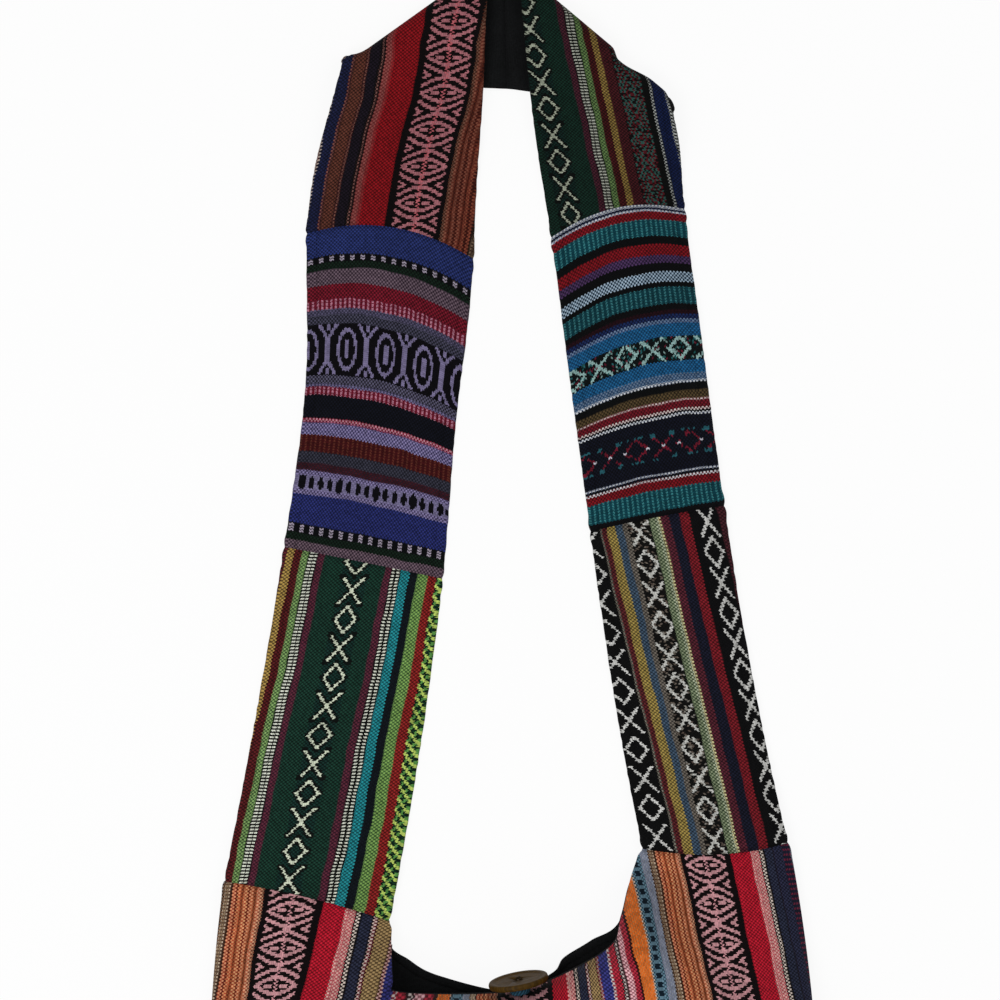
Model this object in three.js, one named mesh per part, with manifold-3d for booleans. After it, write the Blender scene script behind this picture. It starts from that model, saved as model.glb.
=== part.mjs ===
import * as THREE from 'three';
import { mergeVertices } from 'three/addons/utils/BufferGeometryUtils.js';
import Module from 'manifold-3d';

// A patchwork cotton crossbody bag that lies on its back.
// X runs across the bag, Y from the body to the top of the strap, Z up from the surface it lies on.
// Lengths are in millimetres and angles in degrees.

// Cloth
const clothThickness = 1.2;
const liningThickness = 0.8;
const seatGap = 0.3;

// Strap: a flat band of three patches on each side, folded over at the top
const strapWidth = 102;
const foldRadius = 6;
const crownShift = 0.8;
const middleRise = 5;
// Shares of a patch over which the band comes down from the body, and rises to the fold
const footRun = 0.35;
const foldRun = 0.9;

// Each leg starts at the middle of its seam with the body. Slants, bows and arches are given at the four
// ends of the three patches. Headings and spans (the share of the strap's width that shows in plan) are
// given at those ends and halfway between them. A slant turns a seam, so that its inner end lies nearer the
// body, a bow bends it towards the fold, and an arch lifts the band's middle.
const leftLeg = {
  outerSide: 1,
  foot: [-116, -241],
  lengths: [206, 191, 131],
  headings: [79, 80.5, 82.5, 85, 87.5, 82.5, 81.5],
  spans: [1.0, 0.985, 0.95, 0.9, 0.99, 0.925, 0.77],
  slants: [2.6, 3.9, 6.1, -44],
  bows: [2.5, 0.5, 11.5, 0],
  arches: [5, 6, 6, 0],
};
const rightLeg = {
  outerSide: -1,
  foot: [129.3, -207.6],
  lengths: [199.5, 179, 105.5],
  headings: [102.4, 99.8, 98, 97.6, 97.4, 97.2, 97],
  spans: [0.84, 0.82, 0.8, 0.8, 0.8, 0.83, 0.81],
  slants: [-10, 2.9, 4.5, -47],
  bows: [-5, 1, 9, 0],
  arches: [10, 13, 11, 0],
};

// Body: two panels with a deep mouth between their ears
const bodyWidth = 367;
const bodyBottom = -586;
const bodyMiddle = 7.5;
const bodyCornerRadius = 95;
const widestDrop = 190;
const crownHeight = 64;
const crownShare = 0.15;
const domeFullness = 2.6;
const domeShoulder = 0.6;
const sideSeamHeight = 7;
const sideRise = 40;
const hemHeight = 24;
const mouthWallWidth = 18;
const earShare = 0.2;

// Mouth edges, from the left ear to the right one, between the seams with the strap
const frontMouth = [[-65.5, -286], [-60, -295.5], [0, -296], [29, -289], [66, -268.5], [73.5, -250], [79.5, -227]];
const backMouth = [[-69, -269], [-59, -280], [-40, -290.5], [5, -301], [32, -290], [40, -280.5], [57, -270], [76, -256]];
const bindingWidth = 6;
const bindingEnd = 0.06;

// Button, its thread and its loop. Stations are shares of a mouth edge, counted from the left ear.
const buttonStation = 0.495;
const buttonDrop = 0.004;
const buttonRadius = 18;
const buttonThickness = 3.6;
const buttonBevel = 0.9;
const buttonRim = 3;
const buttonDish = 0.8;
const buttonHoleRadius = 1.4;
const buttonHoleSpacing = 3.6;
const threadRadius = 0.8;
const shankRadius = 2.2;
const shankLength = 6.4;
const loopRadius = 1.8;
const loopEnds = [0.36, 0.39];
const loopSlack = 0.8;
const loopSpread = 0.06;
const loopNeck = 14;
const loopHang = 27;

// Fineness of the surfaces
const patchSteps = 8;
const foldSteps = 6;
const middleSteps = 4;
const strapLiningSteps = 22;
const strapColumnSteps = 7;
const bodySteps = 30;
const bodyColumnSteps = 9;
const loopSteps = 40;
const roundSides = 8;
const nearEdge = 0.02;

const mats = {
  redStripe: new THREE.MeshStandardMaterial({ color: 0x6d4241, roughness: 0.9, metalness: 0 }),
  greenChain: new THREE.MeshStandardMaterial({ color: 0x56574f, roughness: 0.9, metalness: 0 }),
  purpleBands: new THREE.MeshStandardMaterial({ color: 0x453849, roughness: 0.9, metalness: 0 }),
  tealBands: new THREE.MeshStandardMaterial({ color: 0x3f4652, roughness: 0.9, metalness: 0 }),
  blackChain: new THREE.MeshStandardMaterial({ color: 0x6b6763, roughness: 0.9, metalness: 0 }),
  lining: new THREE.MeshStandardMaterial({ color: 0x090a0a, roughness: 0.95, metalness: 0 }),
  button: new THREE.MeshStandardMaterial({ color: 0x6b5238, roughness: 0.4, metalness: 0 }),
  thread: new THREE.MeshStandardMaterial({ color: 0x1a1512, roughness: 0.9, metalness: 0 }),
  loop: new THREE.MeshStandardMaterial({ color: 0x2a4a5c, roughness: 0.9, metalness: 0 }),
};

const wasm = await Module();
wasm.setup();

const radians = THREE.MathUtils.degToRad;
const smooth = (x) => THREE.MathUtils.smoothstep(x, 0, 1);

// Value of an evenly spaced list at a share from 0 to 1, on a smooth curve through its entries.
function along(list, share) {
  const points = list.map((value, i) => new THREE.Vector2(i, value));
  return new THREE.SplineCurve(points).getPoint(THREE.MathUtils.clamp(share, 0, 1)).y;
}

// Heading at s, which counts patches from the body: 0 at the foot, 3 at the fold.
const headingAt = (leg, s) => radians(along(leg.headings, s / 3));

// Middle of the band at s, found by walking up from the foot.
function centreAt(leg, s) {
  const stepsPerPatch = 16;
  const centre = new THREE.Vector2(...leg.foot);
  const steps = Math.ceil(s * stepsPerPatch);
  for (let i = 0; i < steps; i += 1) {
    const from = i / stepsPerPatch;
    const to = Math.min((i + 1) / stepsPerPatch, s);
    const heading = headingAt(leg, (from + to) / 2);
    const length = leg.lengths[Math.min(Math.floor(from), 2)] * (to - from);
    centre.x += Math.cos(heading) * length;
    centre.y += Math.sin(heading) * length;
  }
  return centre;
}

// Ends of the band's cross line at s, and the way the band runs there. Each line is worked out once.
const knownRows = new Map([[leftLeg, new Map()], [rightLeg, new Map()]]);
function rowAt(leg, s) {
  const rows = knownRows.get(leg);
  if (!rows.has(s)) rows.set(s, newRow(leg, s));
  return rows.get(s);
}

function newRow(leg, s) {
  const heading = headingAt(leg, s);
  const slant = radians(along(leg.slants, s / 3));
  const ahead = new THREE.Vector2(Math.cos(heading), Math.sin(heading));
  const inward = new THREE.Vector2(ahead.y, -ahead.x).multiplyScalar(leg.outerSide);
  const across = inward.multiplyScalar(Math.cos(slant)).addScaledVector(ahead, -Math.sin(slant));
  const half = strapWidth * along(leg.spans, s / 3) / 2 / Math.cos(slant);
  const centre = centreAt(leg, s);
  return {
    ahead,
    across,
    outer: centre.clone().addScaledVector(across, -half),
    inner: centre.clone().addScaledVector(across, half),
  };
}

const stackHeight = clothThickness + 2 * liningThickness + 3 * seatGap;
const floorLevel = liningThickness + seatGap;
const foldTop = clothThickness + 2 * foldRadius;

// Height of the band's edges: over the back panel at the foot, on the floor, and up onto the fold.
function liftAt(s) {
  const overPanel = (clothThickness + stackHeight - floorLevel) * (1 - smooth(s / footRun));
  return floorLevel + overPanel + (foldTop - floorLevel) * smooth((s - 3 + foldRun) / foldRun);
}

const archAt = (leg, s, q) => along(leg.arches, s / 3) * Math.sin(Math.PI * q ** crownShift);

// The two cross lines at the folds, and the one between them where the halves of the strap meet.
const foldRows = { left: rowAt(leftLeg, 3), right: rowAt(rightLeg, 3) };
const rise = new THREE.Vector2(0, middleRise);
const centreRow = {
  outer: foldRows.left.outer.clone().lerp(foldRows.right.outer, 0.5).add(rise),
  inner: foldRows.left.inner.clone().lerp(foldRows.right.inner, 0.5).add(rise),
};

// Inner side of the patches: s 0 to 3 is the leg, 3 to 4 the roll of the fold and 4 to 5 the half of the
// middle part under it; q runs from the outer edge to the inner one.
function strapPoint(leg, s, across) {
  const q = THREE.MathUtils.clamp(across, 0, 1);
  if (s <= 3) {
    const row = rowAt(leg, s);
    const bow = along(leg.bows, s / 3) * 4 * q * (1 - q);
    const plan = row.outer.clone().lerp(row.inner, q).addScaledVector(row.ahead, bow);
    return new THREE.Vector3(plan.x, plan.y, liftAt(s) + archAt(leg, s, q));
  }
  const fold = leg === leftLeg ? foldRows.left : foldRows.right;
  const line = fold.outer.clone().lerp(fold.inner, q);
  if (s <= 4) {
    const turn = Math.PI * (s - 3);
    const outward = fold.ahead.clone().addScaledVector(fold.across, -fold.ahead.dot(fold.across)).normalize();
    line.addScaledVector(outward, foldRadius * Math.sin(turn));
    return new THREE.Vector3(line.x, line.y, foldTop - foldRadius * (1 - Math.cos(turn)));
  }
  line.lerp(centreRow.outer.clone().lerp(centreRow.inner, q), s - 4);
  return new THREE.Vector3(line.x, line.y, clothThickness);
}

// Body outline, from the left seam's outer end round the bottom to the right seam's outer end.
const leftFoot = rowAt(leftLeg, 0);
const rightFoot = rowAt(rightLeg, 0);
const left = bodyMiddle - bodyWidth / 2;
const right = bodyMiddle + bodyWidth / 2;
const outline = new THREE.Path();
outline.moveTo(leftFoot.outer.x, leftFoot.outer.y);
outline.quadraticCurveTo(left, leftFoot.outer.y - widestDrop / 2, left, leftFoot.outer.y - widestDrop);
outline.lineTo(left, bodyBottom + bodyCornerRadius);
outline.absarc(left + bodyCornerRadius, bodyBottom + bodyCornerRadius, bodyCornerRadius, Math.PI, 1.5 * Math.PI);
outline.absarc(right - bodyCornerRadius, bodyBottom + bodyCornerRadius, bodyCornerRadius, 1.5 * Math.PI, 2 * Math.PI);
outline.lineTo(right, rightFoot.outer.y - widestDrop);
outline.quadraticCurveTo(right, rightFoot.outer.y - widestDrop / 2, rightFoot.outer.x, rightFoot.outer.y);

function mouthCurve(points) {
  const inner = points.map(([x, y]) => new THREE.Vector2(x, y));
  return new THREE.SplineCurve([leftFoot.inner, ...inner, rightFoot.inner]);
}
const frontMouthCurve = mouthCurve(frontMouth);
const backMouthCurve = mouthCurve(backMouth);

// How far a cross line of the body is from the strap: 0 at the seams and 1 past the ears.
const earBlend = (t) => smooth(t / earShare) * smooth((1 - t) / earShare);

// Plan of a panel, and what its height needs: t runs from the left seam round to the right one, and share
// from the mouth to the outline.
function bodyPlan(mouth, t, share) {
  const edge = mouth.getPointAt(THREE.MathUtils.clamp(t, 0, 1));
  const rim = outline.getPointAt(THREE.MathUtils.clamp(t, 0, 1));
  const leg = t < 0.5 ? leftLeg : rightLeg;
  const foot = t < 0.5 ? leftFoot : rightFoot;
  const blend = earBlend(t);
  const bow = leg.bows[0] * 4 * share * (1 - share) * (1 - blend);
  const plan = edge.clone().lerp(rim, share).addScaledVector(foot.ahead, bow);
  return { plan, blend, reach: edge.distanceTo(rim), leg };
}

// Height of the strap's end, which the ears start from.
const footHeight = (leg, share) => liftAt(0) + archAt(leg, 0, 1 - share);

function frontPoint(t, across) {
  const share = THREE.MathUtils.clamp(across, 0, 1);
  const { plan, blend, reach, leg } = bodyPlan(frontMouthCurve, t, share);
  const seam = clothThickness + sideSeamHeight + stackHeight;
  const fall = Math.abs(share - crownShare) / (1 - crownShare);
  const dome = seam + (crownHeight - seam) * (1 - fall ** domeFullness) ** domeShoulder;
  const wall = 1 - (1 - Math.min(share * reach / mouthWallWidth, 1)) ** 2;
  const height = hemHeight + (dome - hemHeight) * Math.sqrt(wall);
  return new THREE.Vector3(plan.x, plan.y, THREE.MathUtils.lerp(footHeight(leg, share), height, blend));
}

function backPoint(t, across) {
  const share = THREE.MathUtils.clamp(across, 0, 1);
  const { plan, blend, reach, leg } = bodyPlan(backMouthCurve, t, share);
  const nearRim = THREE.MathUtils.clamp(1 - (1 - share) * reach / sideRise, 0, 1);
  const height = clothThickness + sideSeamHeight * nearRim ** 2;
  const ear = footHeight(leg, share) - stackHeight;
  return new THREE.Vector3(plan.x, plan.y, THREE.MathUtils.lerp(ear, height, blend));
}

// Upward or outward normal of a surface, by differences.
function normalOf(surface, a, b, flip) {
  const step = 1e-3;
  const da = surface(a + step, b).sub(surface(a - step, b));
  const db = surface(a, b + step).sub(surface(a, b - step));
  return da.cross(db).normalize().multiplyScalar(flip);
}

// A closed solid between two offsets of a surface, over a grid of its two values.
function sheetSolid(surface, flip, rows, columns, low, high) {
  const positions = [];
  for (const offset of [low, high]) {
    for (const a of rows) {
      for (const b of columns) {
        const point = surface(a, b).addScaledVector(normalOf(surface, a, b, flip), offset);
        positions.push(point.x, point.y, point.z);
      }
    }
  }
  const across = columns.length;
  const layer = rows.length * across;
  const at = (level, i, j) => level * layer + i * across + j;
  const faces = [];
  const quad = (p, q, r, s) => faces.push(p, q, r, p, r, s);
  for (let i = 0; i + 1 < rows.length; i += 1) {
    for (let j = 0; j + 1 < across; j += 1) {
      quad(at(1, i, j), at(1, i + 1, j), at(1, i + 1, j + 1), at(1, i, j + 1));
      quad(at(0, i, j), at(0, i, j + 1), at(0, i + 1, j + 1), at(0, i + 1, j));
    }
    quad(at(0, i, 0), at(0, i + 1, 0), at(1, i + 1, 0), at(1, i, 0));
    quad(at(0, i + 1, across - 1), at(0, i, across - 1), at(1, i, across - 1), at(1, i + 1, across - 1));
  }
  const last = rows.length - 1;
  for (let j = 0; j + 1 < across; j += 1) {
    quad(at(0, 0, j + 1), at(0, 0, j), at(1, 0, j), at(1, 0, j + 1));
    quad(at(0, last, j), at(0, last, j + 1), at(1, last, j + 1), at(1, last, j));
  }
  return closedGeometry(positions, faces);
}

// A tube of oval section along an edge: centre, and the two half axes, come from a function of t.
function edgeTube(frame, stations, sides) {
  const positions = [];
  for (const t of stations) {
    const { centre, wide, tall } = frame(t);
    for (let k = 0; k < sides; k += 1) {
      const angle = (2 * Math.PI * k) / sides;
      const point = centre.clone().addScaledVector(wide, Math.cos(angle)).addScaledVector(tall, Math.sin(angle));
      positions.push(point.x, point.y, point.z);
    }
  }
  const faces = [];
  const last = (stations.length - 1) * sides;
  for (let i = 0; i < last; i += sides) {
    for (let k = 0; k < sides; k += 1) {
      const next = (k + 1) % sides;
      faces.push(i + k, i + next, i + sides + next, i + k, i + sides + next, i + sides + k);
    }
  }
  for (let k = 1; k + 1 < sides; k += 1) {
    faces.push(0, k + 1, k, last, last + k, last + k + 1);
  }
  return closedGeometry(positions, faces);
}

// Turns the faces outward, by the sign of the volume they enclose.
function closedGeometry(positions, faces) {
  const corner = (index) => new THREE.Vector3().fromArray(positions, 3 * index);
  let volume = 0;
  for (let i = 0; i < faces.length; i += 3) {
    volume += corner(faces[i]).dot(corner(faces[i + 1]).cross(corner(faces[i + 2])));
  }
  const geometry = new THREE.BufferGeometry();
  geometry.setAttribute('position', new THREE.Float32BufferAttribute(positions, 3));
  geometry.setIndex(volume < 0 ? faces.slice().reverse() : faces);
  geometry.computeVertexNormals();
  return geometry;
}

// Evenly spaced values from one number to another.
function steps(from, to, count) {
  return Array.from({ length: count + 1 }, (_, i) => from + ((to - from) * i) / count);
}

const bag = new THREE.Group();

function addMesh(name, geometry, material) {
  const mesh = new THREE.Mesh(geometry, material);
  mesh.name = name;
  bag.add(mesh);
  return mesh;
}

// Strap

const strapColumns = steps(0, 1, strapColumnSteps);
const halfGap = seatGap / 2;
const liningUnder = [-seatGap - liningThickness, -seatGap];

// Rows of the strap between two places, which keep half a gap to the seam at each end.
function strapRows(leg, from, to, count) {
  const start = from + halfGap / leg.lengths[from];
  if (to <= 3) return steps(start, to - halfGap / leg.lengths[to - 1], count);
  const fold = leg === leftLeg ? foldRows.left : foldRows.right;
  const middleLength = Math.min(
    fold.outer.distanceTo(centreRow.outer),
    fold.inner.distanceTo(centreRow.inner),
  );
  return [
    ...steps(start, 3, count),
    ...steps(3, 4, foldSteps).slice(1),
    ...steps(4, 5 - halfGap / middleLength, middleSteps).slice(1),
  ];
}

function addStrapHalf(side, leg, patches) {
  const surface = (s, q) => strapPoint(leg, s, q);
  const flip = -leg.outerSide;
  patches.forEach(([name, material, from, to]) => {
    const rows = strapRows(leg, from, to, patchSteps);
    addMesh(`strap_patch_${side}_${name}`, sheetSolid(surface, flip, rows, strapColumns, 0, clothThickness), material);
  });
  const rows = strapRows(leg, 0, 5, strapLiningSteps);
  addMesh(`strap_lining_${side}`, sheetSolid(surface, flip, rows, strapColumns, ...liningUnder), mats.lining);
}

addStrapHalf('left', leftLeg, [
  ['lower', mats.greenChain, 0, 1],
  ['middle', mats.purpleBands, 1, 2],
  ['upper', mats.redStripe, 2, 5],
]);
addStrapHalf('right', rightLeg, [
  ['lower', mats.blackChain, 0, 1],
  ['middle', mats.tealBands, 1, 2],
  ['upper', mats.greenChain, 2, 5],
]);

// Body

const bodyMargin = seatGap / frontMouthCurve.getLength();
const bodyRows = steps(bodyMargin, 1 - bodyMargin, bodySteps);
// The columns are close together near the mouth and the side seam.
const bodyColumns = steps(0, 1, bodyColumnSteps).map((w) => ((1 - Math.cos(Math.PI * w)) / 2) ** 1.25);

addMesh('body_front_panel', sheetSolid(frontPoint, -1, bodyRows, bodyColumns, 0, clothThickness), mats.redStripe);
addMesh('lining_front', sheetSolid(frontPoint, -1, bodyRows, bodyColumns, ...liningUnder), mats.lining);
addMesh('body_back_panel', sheetSolid(backPoint, 1, bodyRows, bodyColumns, 0, clothThickness), mats.redStripe);
addMesh('lining_back', sheetSolid(backPoint, 1, bodyRows, bodyColumns, ...liningUnder), mats.lining);

// Binding, folded over the mouth edge of a panel and its lining, and seated just outside them. It carries on
// the way the cloth runs there, and lies no lower than the surface under the bag.
function bindingFrame(surface, flip) {
  const middle = (clothThickness - liningThickness - seatGap) / 2;
  return (t) => {
    const edge = surface(t, 0);
    const out = edge.clone().sub(surface(t, nearEdge)).normalize();
    const normal = normalOf(surface, t, nearEdge, flip);
    const centre = edge.clone().addScaledVector(out, seatGap + bindingWidth / 2).addScaledVector(normal, middle);
    const wide = out.multiplyScalar(bindingWidth / 2);
    const tall = normal.multiplyScalar((clothThickness + seatGap + liningThickness) / 2);
    const lift = Math.max(Math.hypot(wide.z, tall.z) - centre.z, 0);
    centre.add(new THREE.Vector3(wide.x, wide.y, 0).setLength(lift));
    centre.z += lift;
    return { centre, wide, tall };
  };
}
// The bindings turn where the rows of the panels do, so that the gap between them is even.
const bindingStations = bodyRows.filter((t) => t > bindingEnd && t < 1 - bindingEnd);
addMesh('mouth_binding_front', edgeTube(bindingFrame(frontPoint, -1), bindingStations, roundSides), mats.lining);
addMesh('mouth_binding_back', edgeTube(bindingFrame(backPoint, 1), bindingStations, roundSides), mats.lining);

// Button, sewn to the wall of the front panel just over the mouth. In its own frame Y points away from the
// cloth, and 0 is the button's back.

const wallPoint = frontPoint(buttonStation, buttonDrop);
const wallNormal = normalOf(frontPoint, buttonStation, buttonDrop, -1);
const sideways = new THREE.Vector3(0, 0, 1).cross(wallNormal).normalize().negate();
const upward = sideways.clone().cross(wallNormal).normalize();
const buttonGroup = new THREE.Group();
buttonGroup.setRotationFromMatrix(new THREE.Matrix4().makeBasis(sideways, wallNormal, upward));
buttonGroup.position.copy(wallPoint).addScaledVector(wallNormal, clothThickness + shankLength);
bag.add(buttonGroup);

function solidOf(geometry) {
  const bare = geometry.clone();
  bare.deleteAttribute('normal');
  bare.deleteAttribute('uv');
  const merged = mergeVertices(bare, 1e-4);
  const mesh = new wasm.Mesh({
    numProp: 3,
    vertProperties: new Float32Array(merged.attributes.position.array),
    triVerts: new Uint32Array(merged.index.array),
  });
  return new wasm.Manifold(mesh);
}

function geometryOf(solid) {
  const { vertProperties, triVerts } = solid.getMesh();
  const geometry = new THREE.BufferGeometry();
  geometry.setAttribute('position', new THREE.Float32BufferAttribute(vertProperties, 3));
  geometry.setIndex(Array.from(triVerts));
  geometry.computeVertexNormals();
  return geometry;
}

// A round post along Y between two heights.
function post(x, z, radius, from, to, sides = 10) {
  const cylinder = new THREE.CylinderGeometry(radius, radius, to - from, sides);
  return solidOf(cylinder.translate(x, (from + to) / 2, z));
}

const holePlaces = [[-1, -1], [1, -1], [1, 1], [-1, 1]].map(([x, z]) => [
  (x * buttonHoleSpacing) / 2,
  (z * buttonHoleSpacing) / 2,
]);

function buttonGeometry() {
  const dish = buttonThickness - buttonDish;
  const profile = [
    [0, 0],
    [buttonRadius - buttonBevel, 0],
    [buttonRadius, buttonBevel],
    [buttonRadius, buttonThickness - buttonBevel],
    [buttonRadius - buttonBevel, buttonThickness],
    [buttonRadius - buttonRim, buttonThickness],
    [buttonRadius - buttonRim - buttonDish, dish],
    [0, dish],
  ].map(([r, y]) => new THREE.Vector2(r, y));
  let solid = solidOf(new THREE.LatheGeometry(profile, 32));
  for (const [x, z] of holePlaces) {
    solid = solid.subtract(post(x, z, buttonHoleRadius, -1, buttonThickness + 1));
  }
  return geometryOf(solid);
}

// Thread: a wound shank, a knot behind the button, four strands through its holes and a cross in front.
function threadGeometry() {
  const knot = -seatGap - threadRadius;
  const front = buttonThickness - buttonDish + seatGap;
  const reach = buttonHoleSpacing / Math.SQRT2;
  let solid = post(0, 0, shankRadius, seatGap - shankLength, knot + threadRadius / 2);
  solid = solid.add(post(0, 0, reach + threadRadius, knot, -seatGap));
  for (const [x, z] of holePlaces) {
    solid = solid.add(post(x, z, threadRadius, -seatGap - threadRadius / 2, front + threadRadius));
  }
  for (const turn of [Math.PI / 4, -Math.PI / 4]) {
    const bar = new THREE.BoxGeometry(2 * (reach + threadRadius), threadRadius, 2 * threadRadius);
    bar.rotateY(turn).translate(0, front + threadRadius / 2, 0);
    solid = solid.add(solidOf(bar));
  }
  return geometryOf(solid);
}

for (const [name, geometry, material] of [
  ['button', buttonGeometry(), mats.button],
  ['button_thread', threadGeometry(), mats.thread],
]) {
  const mesh = new THREE.Mesh(geometry, material);
  mesh.name = name;
  buttonGroup.add(mesh);
}

// Loop: a cloth cord sewn to the back edge, which goes round the shank, between button and cloth.
function loopGeometry() {
  const clear = shankRadius + seatGap + loopRadius;
  const onPanel = (t, share) => {
    const point = backPoint(t, share);
    point.z += liningThickness + 2 * seatGap + loopSlack + loopRadius;
    return point;
  };
  const atShank = (side, height) => wallPoint.clone()
    .addScaledVector(wallNormal, clothThickness + seatGap + loopRadius)
    .addScaledVector(sideways, side)
    .addScaledVector(upward, height);
  const over = steps(0, Math.PI, 4).map((angle) => atShank(-clear * Math.cos(angle), clear * Math.sin(angle)));
  const path = new THREE.CatmullRomCurve3([
    onPanel(loopEnds[0], 0),
    onPanel(loopEnds[0] + loopSpread, 0),
    atShank(-clear - loopRadius, -loopHang),
    atShank(-clear, -loopNeck),
    ...over,
    atShank(clear, -loopNeck),
    atShank(clear - loopRadius / 2, -loopHang),
    onPanel(loopEnds[1] + loopSpread, nearEdge),
    onPanel(loopEnds[1], nearEdge),
  ], false, 'centripetal');
  const frames = path.computeFrenetFrames(loopSteps, false);
  const frameAt = (i) => ({
    centre: path.getPointAt(i / loopSteps),
    wide: frames.normals[i].clone().multiplyScalar(loopRadius),
    tall: frames.binormals[i].clone().multiplyScalar(loopRadius),
  });
  return edgeTube(frameAt, steps(0, loopSteps, loopSteps), roundSides);
}
addMesh('button_loop', loopGeometry(), mats.loop);

bag.updateMatrixWorld(true);
const box = new THREE.Box3().setFromObject(bag);
bag.position.set(-(box.min.x + box.max.x) / 2, -(box.min.y + box.max.y) / 2, -box.min.z);

export default bag;
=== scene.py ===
"""A patchwork cotton crossbody bag with a wide strap, laid on its back on a pale floor."""

import math

import bpy
import numpy as np
from mathutils import Matrix, Vector

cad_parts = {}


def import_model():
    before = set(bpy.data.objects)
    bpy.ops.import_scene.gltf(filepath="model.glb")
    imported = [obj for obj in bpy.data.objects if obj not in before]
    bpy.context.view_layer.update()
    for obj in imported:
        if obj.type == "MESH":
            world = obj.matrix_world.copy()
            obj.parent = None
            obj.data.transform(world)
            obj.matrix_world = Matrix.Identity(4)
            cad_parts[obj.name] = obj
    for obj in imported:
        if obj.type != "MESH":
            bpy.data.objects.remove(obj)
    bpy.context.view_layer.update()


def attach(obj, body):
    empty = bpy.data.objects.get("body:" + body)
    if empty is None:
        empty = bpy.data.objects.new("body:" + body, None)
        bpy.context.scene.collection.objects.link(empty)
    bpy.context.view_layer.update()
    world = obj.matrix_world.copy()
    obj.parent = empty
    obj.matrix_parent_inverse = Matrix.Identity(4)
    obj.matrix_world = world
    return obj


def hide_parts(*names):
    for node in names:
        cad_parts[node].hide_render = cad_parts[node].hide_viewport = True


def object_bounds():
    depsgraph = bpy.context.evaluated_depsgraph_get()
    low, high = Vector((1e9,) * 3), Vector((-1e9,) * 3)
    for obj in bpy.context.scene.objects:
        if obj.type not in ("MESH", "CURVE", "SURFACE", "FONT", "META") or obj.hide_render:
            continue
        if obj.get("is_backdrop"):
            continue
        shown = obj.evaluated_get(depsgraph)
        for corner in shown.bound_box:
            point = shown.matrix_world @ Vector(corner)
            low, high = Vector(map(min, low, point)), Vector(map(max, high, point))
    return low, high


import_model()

# The shapes are worked out in millimetres, with X and Y counted from the middle of the photograph.
# This is where that point lies in the part's own frame.
ORIGIN = np.array([-7.5, 133.566, 0.0])

# Cloth
CLOTH = 1.2
LINING = 0.8
GAP = 0.3
STACK = CLOTH + 2 * LINING + 3 * GAP
FLOOR_LEVEL = LINING + GAP

# Strap. Slants, bows and arches are given at the four ends of the three patches of a leg, headings and
# spans also halfway between them.
STRAP_WIDTH = 102
FOLD_RADIUS = 6
FOLD_TOP = CLOTH + 2 * FOLD_RADIUS
CROWN_SHIFT = 0.8
MIDDLE_RISE = 5
FOOT_RUN = 0.35
FOLD_RUN = 0.9
LEFT = {
    "side": 1,
    "foot": (-116, -241),
    "lengths": (206, 191, 131),
    "headings": (79, 80.5, 82.5, 85, 87.5, 82.5, 81.5),
    "spans": (1.0, 0.985, 0.95, 0.9, 0.99, 0.925, 0.77),
    "slants": (2.6, 3.9, 6.1, -44),
    "bows": (2.5, 0.5, 11.5, 0),
    "arches": (5, 6, 6, 0),
    "push": 13,
    "crease": 0,
}
RIGHT = {
    "side": -1,
    "foot": (129.3, -207.6),
    "lengths": (199.5, 179, 105.5),
    "headings": (102.4, 99.8, 98, 97.6, 97.4, 97.2, 97),
    "spans": (0.84, 0.82, 0.8, 0.8, 0.8, 0.83, 0.81),
    "slants": (-10, 2.9, 4.5, -47),
    "bows": (-5, 1, 9, 0),
    "arches": (10, 13, 11, 0),
    "push": 0,
    "crease": 3.6,
}
# The fold's outer corner is rounded over one share of the width and pushed ahead over another
ROUND_SHARE = 0.12
PUSH_SHARE = 0.24
UNDER_LENGTH = 60

# Body
BODY_WIDTH = 367
BODY_BOTTOM = -586
BODY_MIDDLE = 7.5
CORNER = 95
WIDEST_DROP = 190
CROWN_HEIGHT = 64
CROWN_SHARE = 0.15
DOME_FULLNESS = 2.6
DOME_SHOULDER = 0.6
SIDE_SEAM = 7
SIDE_RISE = 40
HEM_HEIGHT = 24
WALL_WIDTH = 18
EAR_SHARE = 0.2
FRONT_MOUTH = ((-65.5, -286), (-60, -295.5), (0, -296), (29, -289), (66, -268.5), (73.5, -250), (79.5, -227))
BACK_MOUTH = (
    (-69, -269), (-59, -280), (-40, -290.5), (5, -301),
    (32, -290), (40, -280.5), (57, -270), (76, -256),
)
BINDING_WIDTH = 6
BINDING_END = 0.06

# Button, thread and loop
BUTTON_STATION = 0.495
BUTTON_DROP = 0.004
BUTTON_RADIUS = 18
BUTTON_THICKNESS = 3.6
BUTTON_RIM = 3
BUTTON_DISH = 0.8
HOLE_RADIUS = 1.4
HOLE_SPACING = 3.6
THREAD_RADIUS = 0.8
SHANK_RADIUS = 2.2
SHANK_LENGTH = 6.4
LOOP_RADIUS = 1.8
LOOP_ENDS = (0.36, 0.39)
LOOP_SLACK = 0.8
LOOP_SPREAD = 0.06
LOOP_NECK = 14
LOOP_HANG = 27
NEAR_EDGE = 0.02


def smooth(x):
    x = np.clip(x, 0, 1)
    return x * x * (3 - 2 * x)


def mix(a, b, share):
    return a + (b - a) * share


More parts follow.
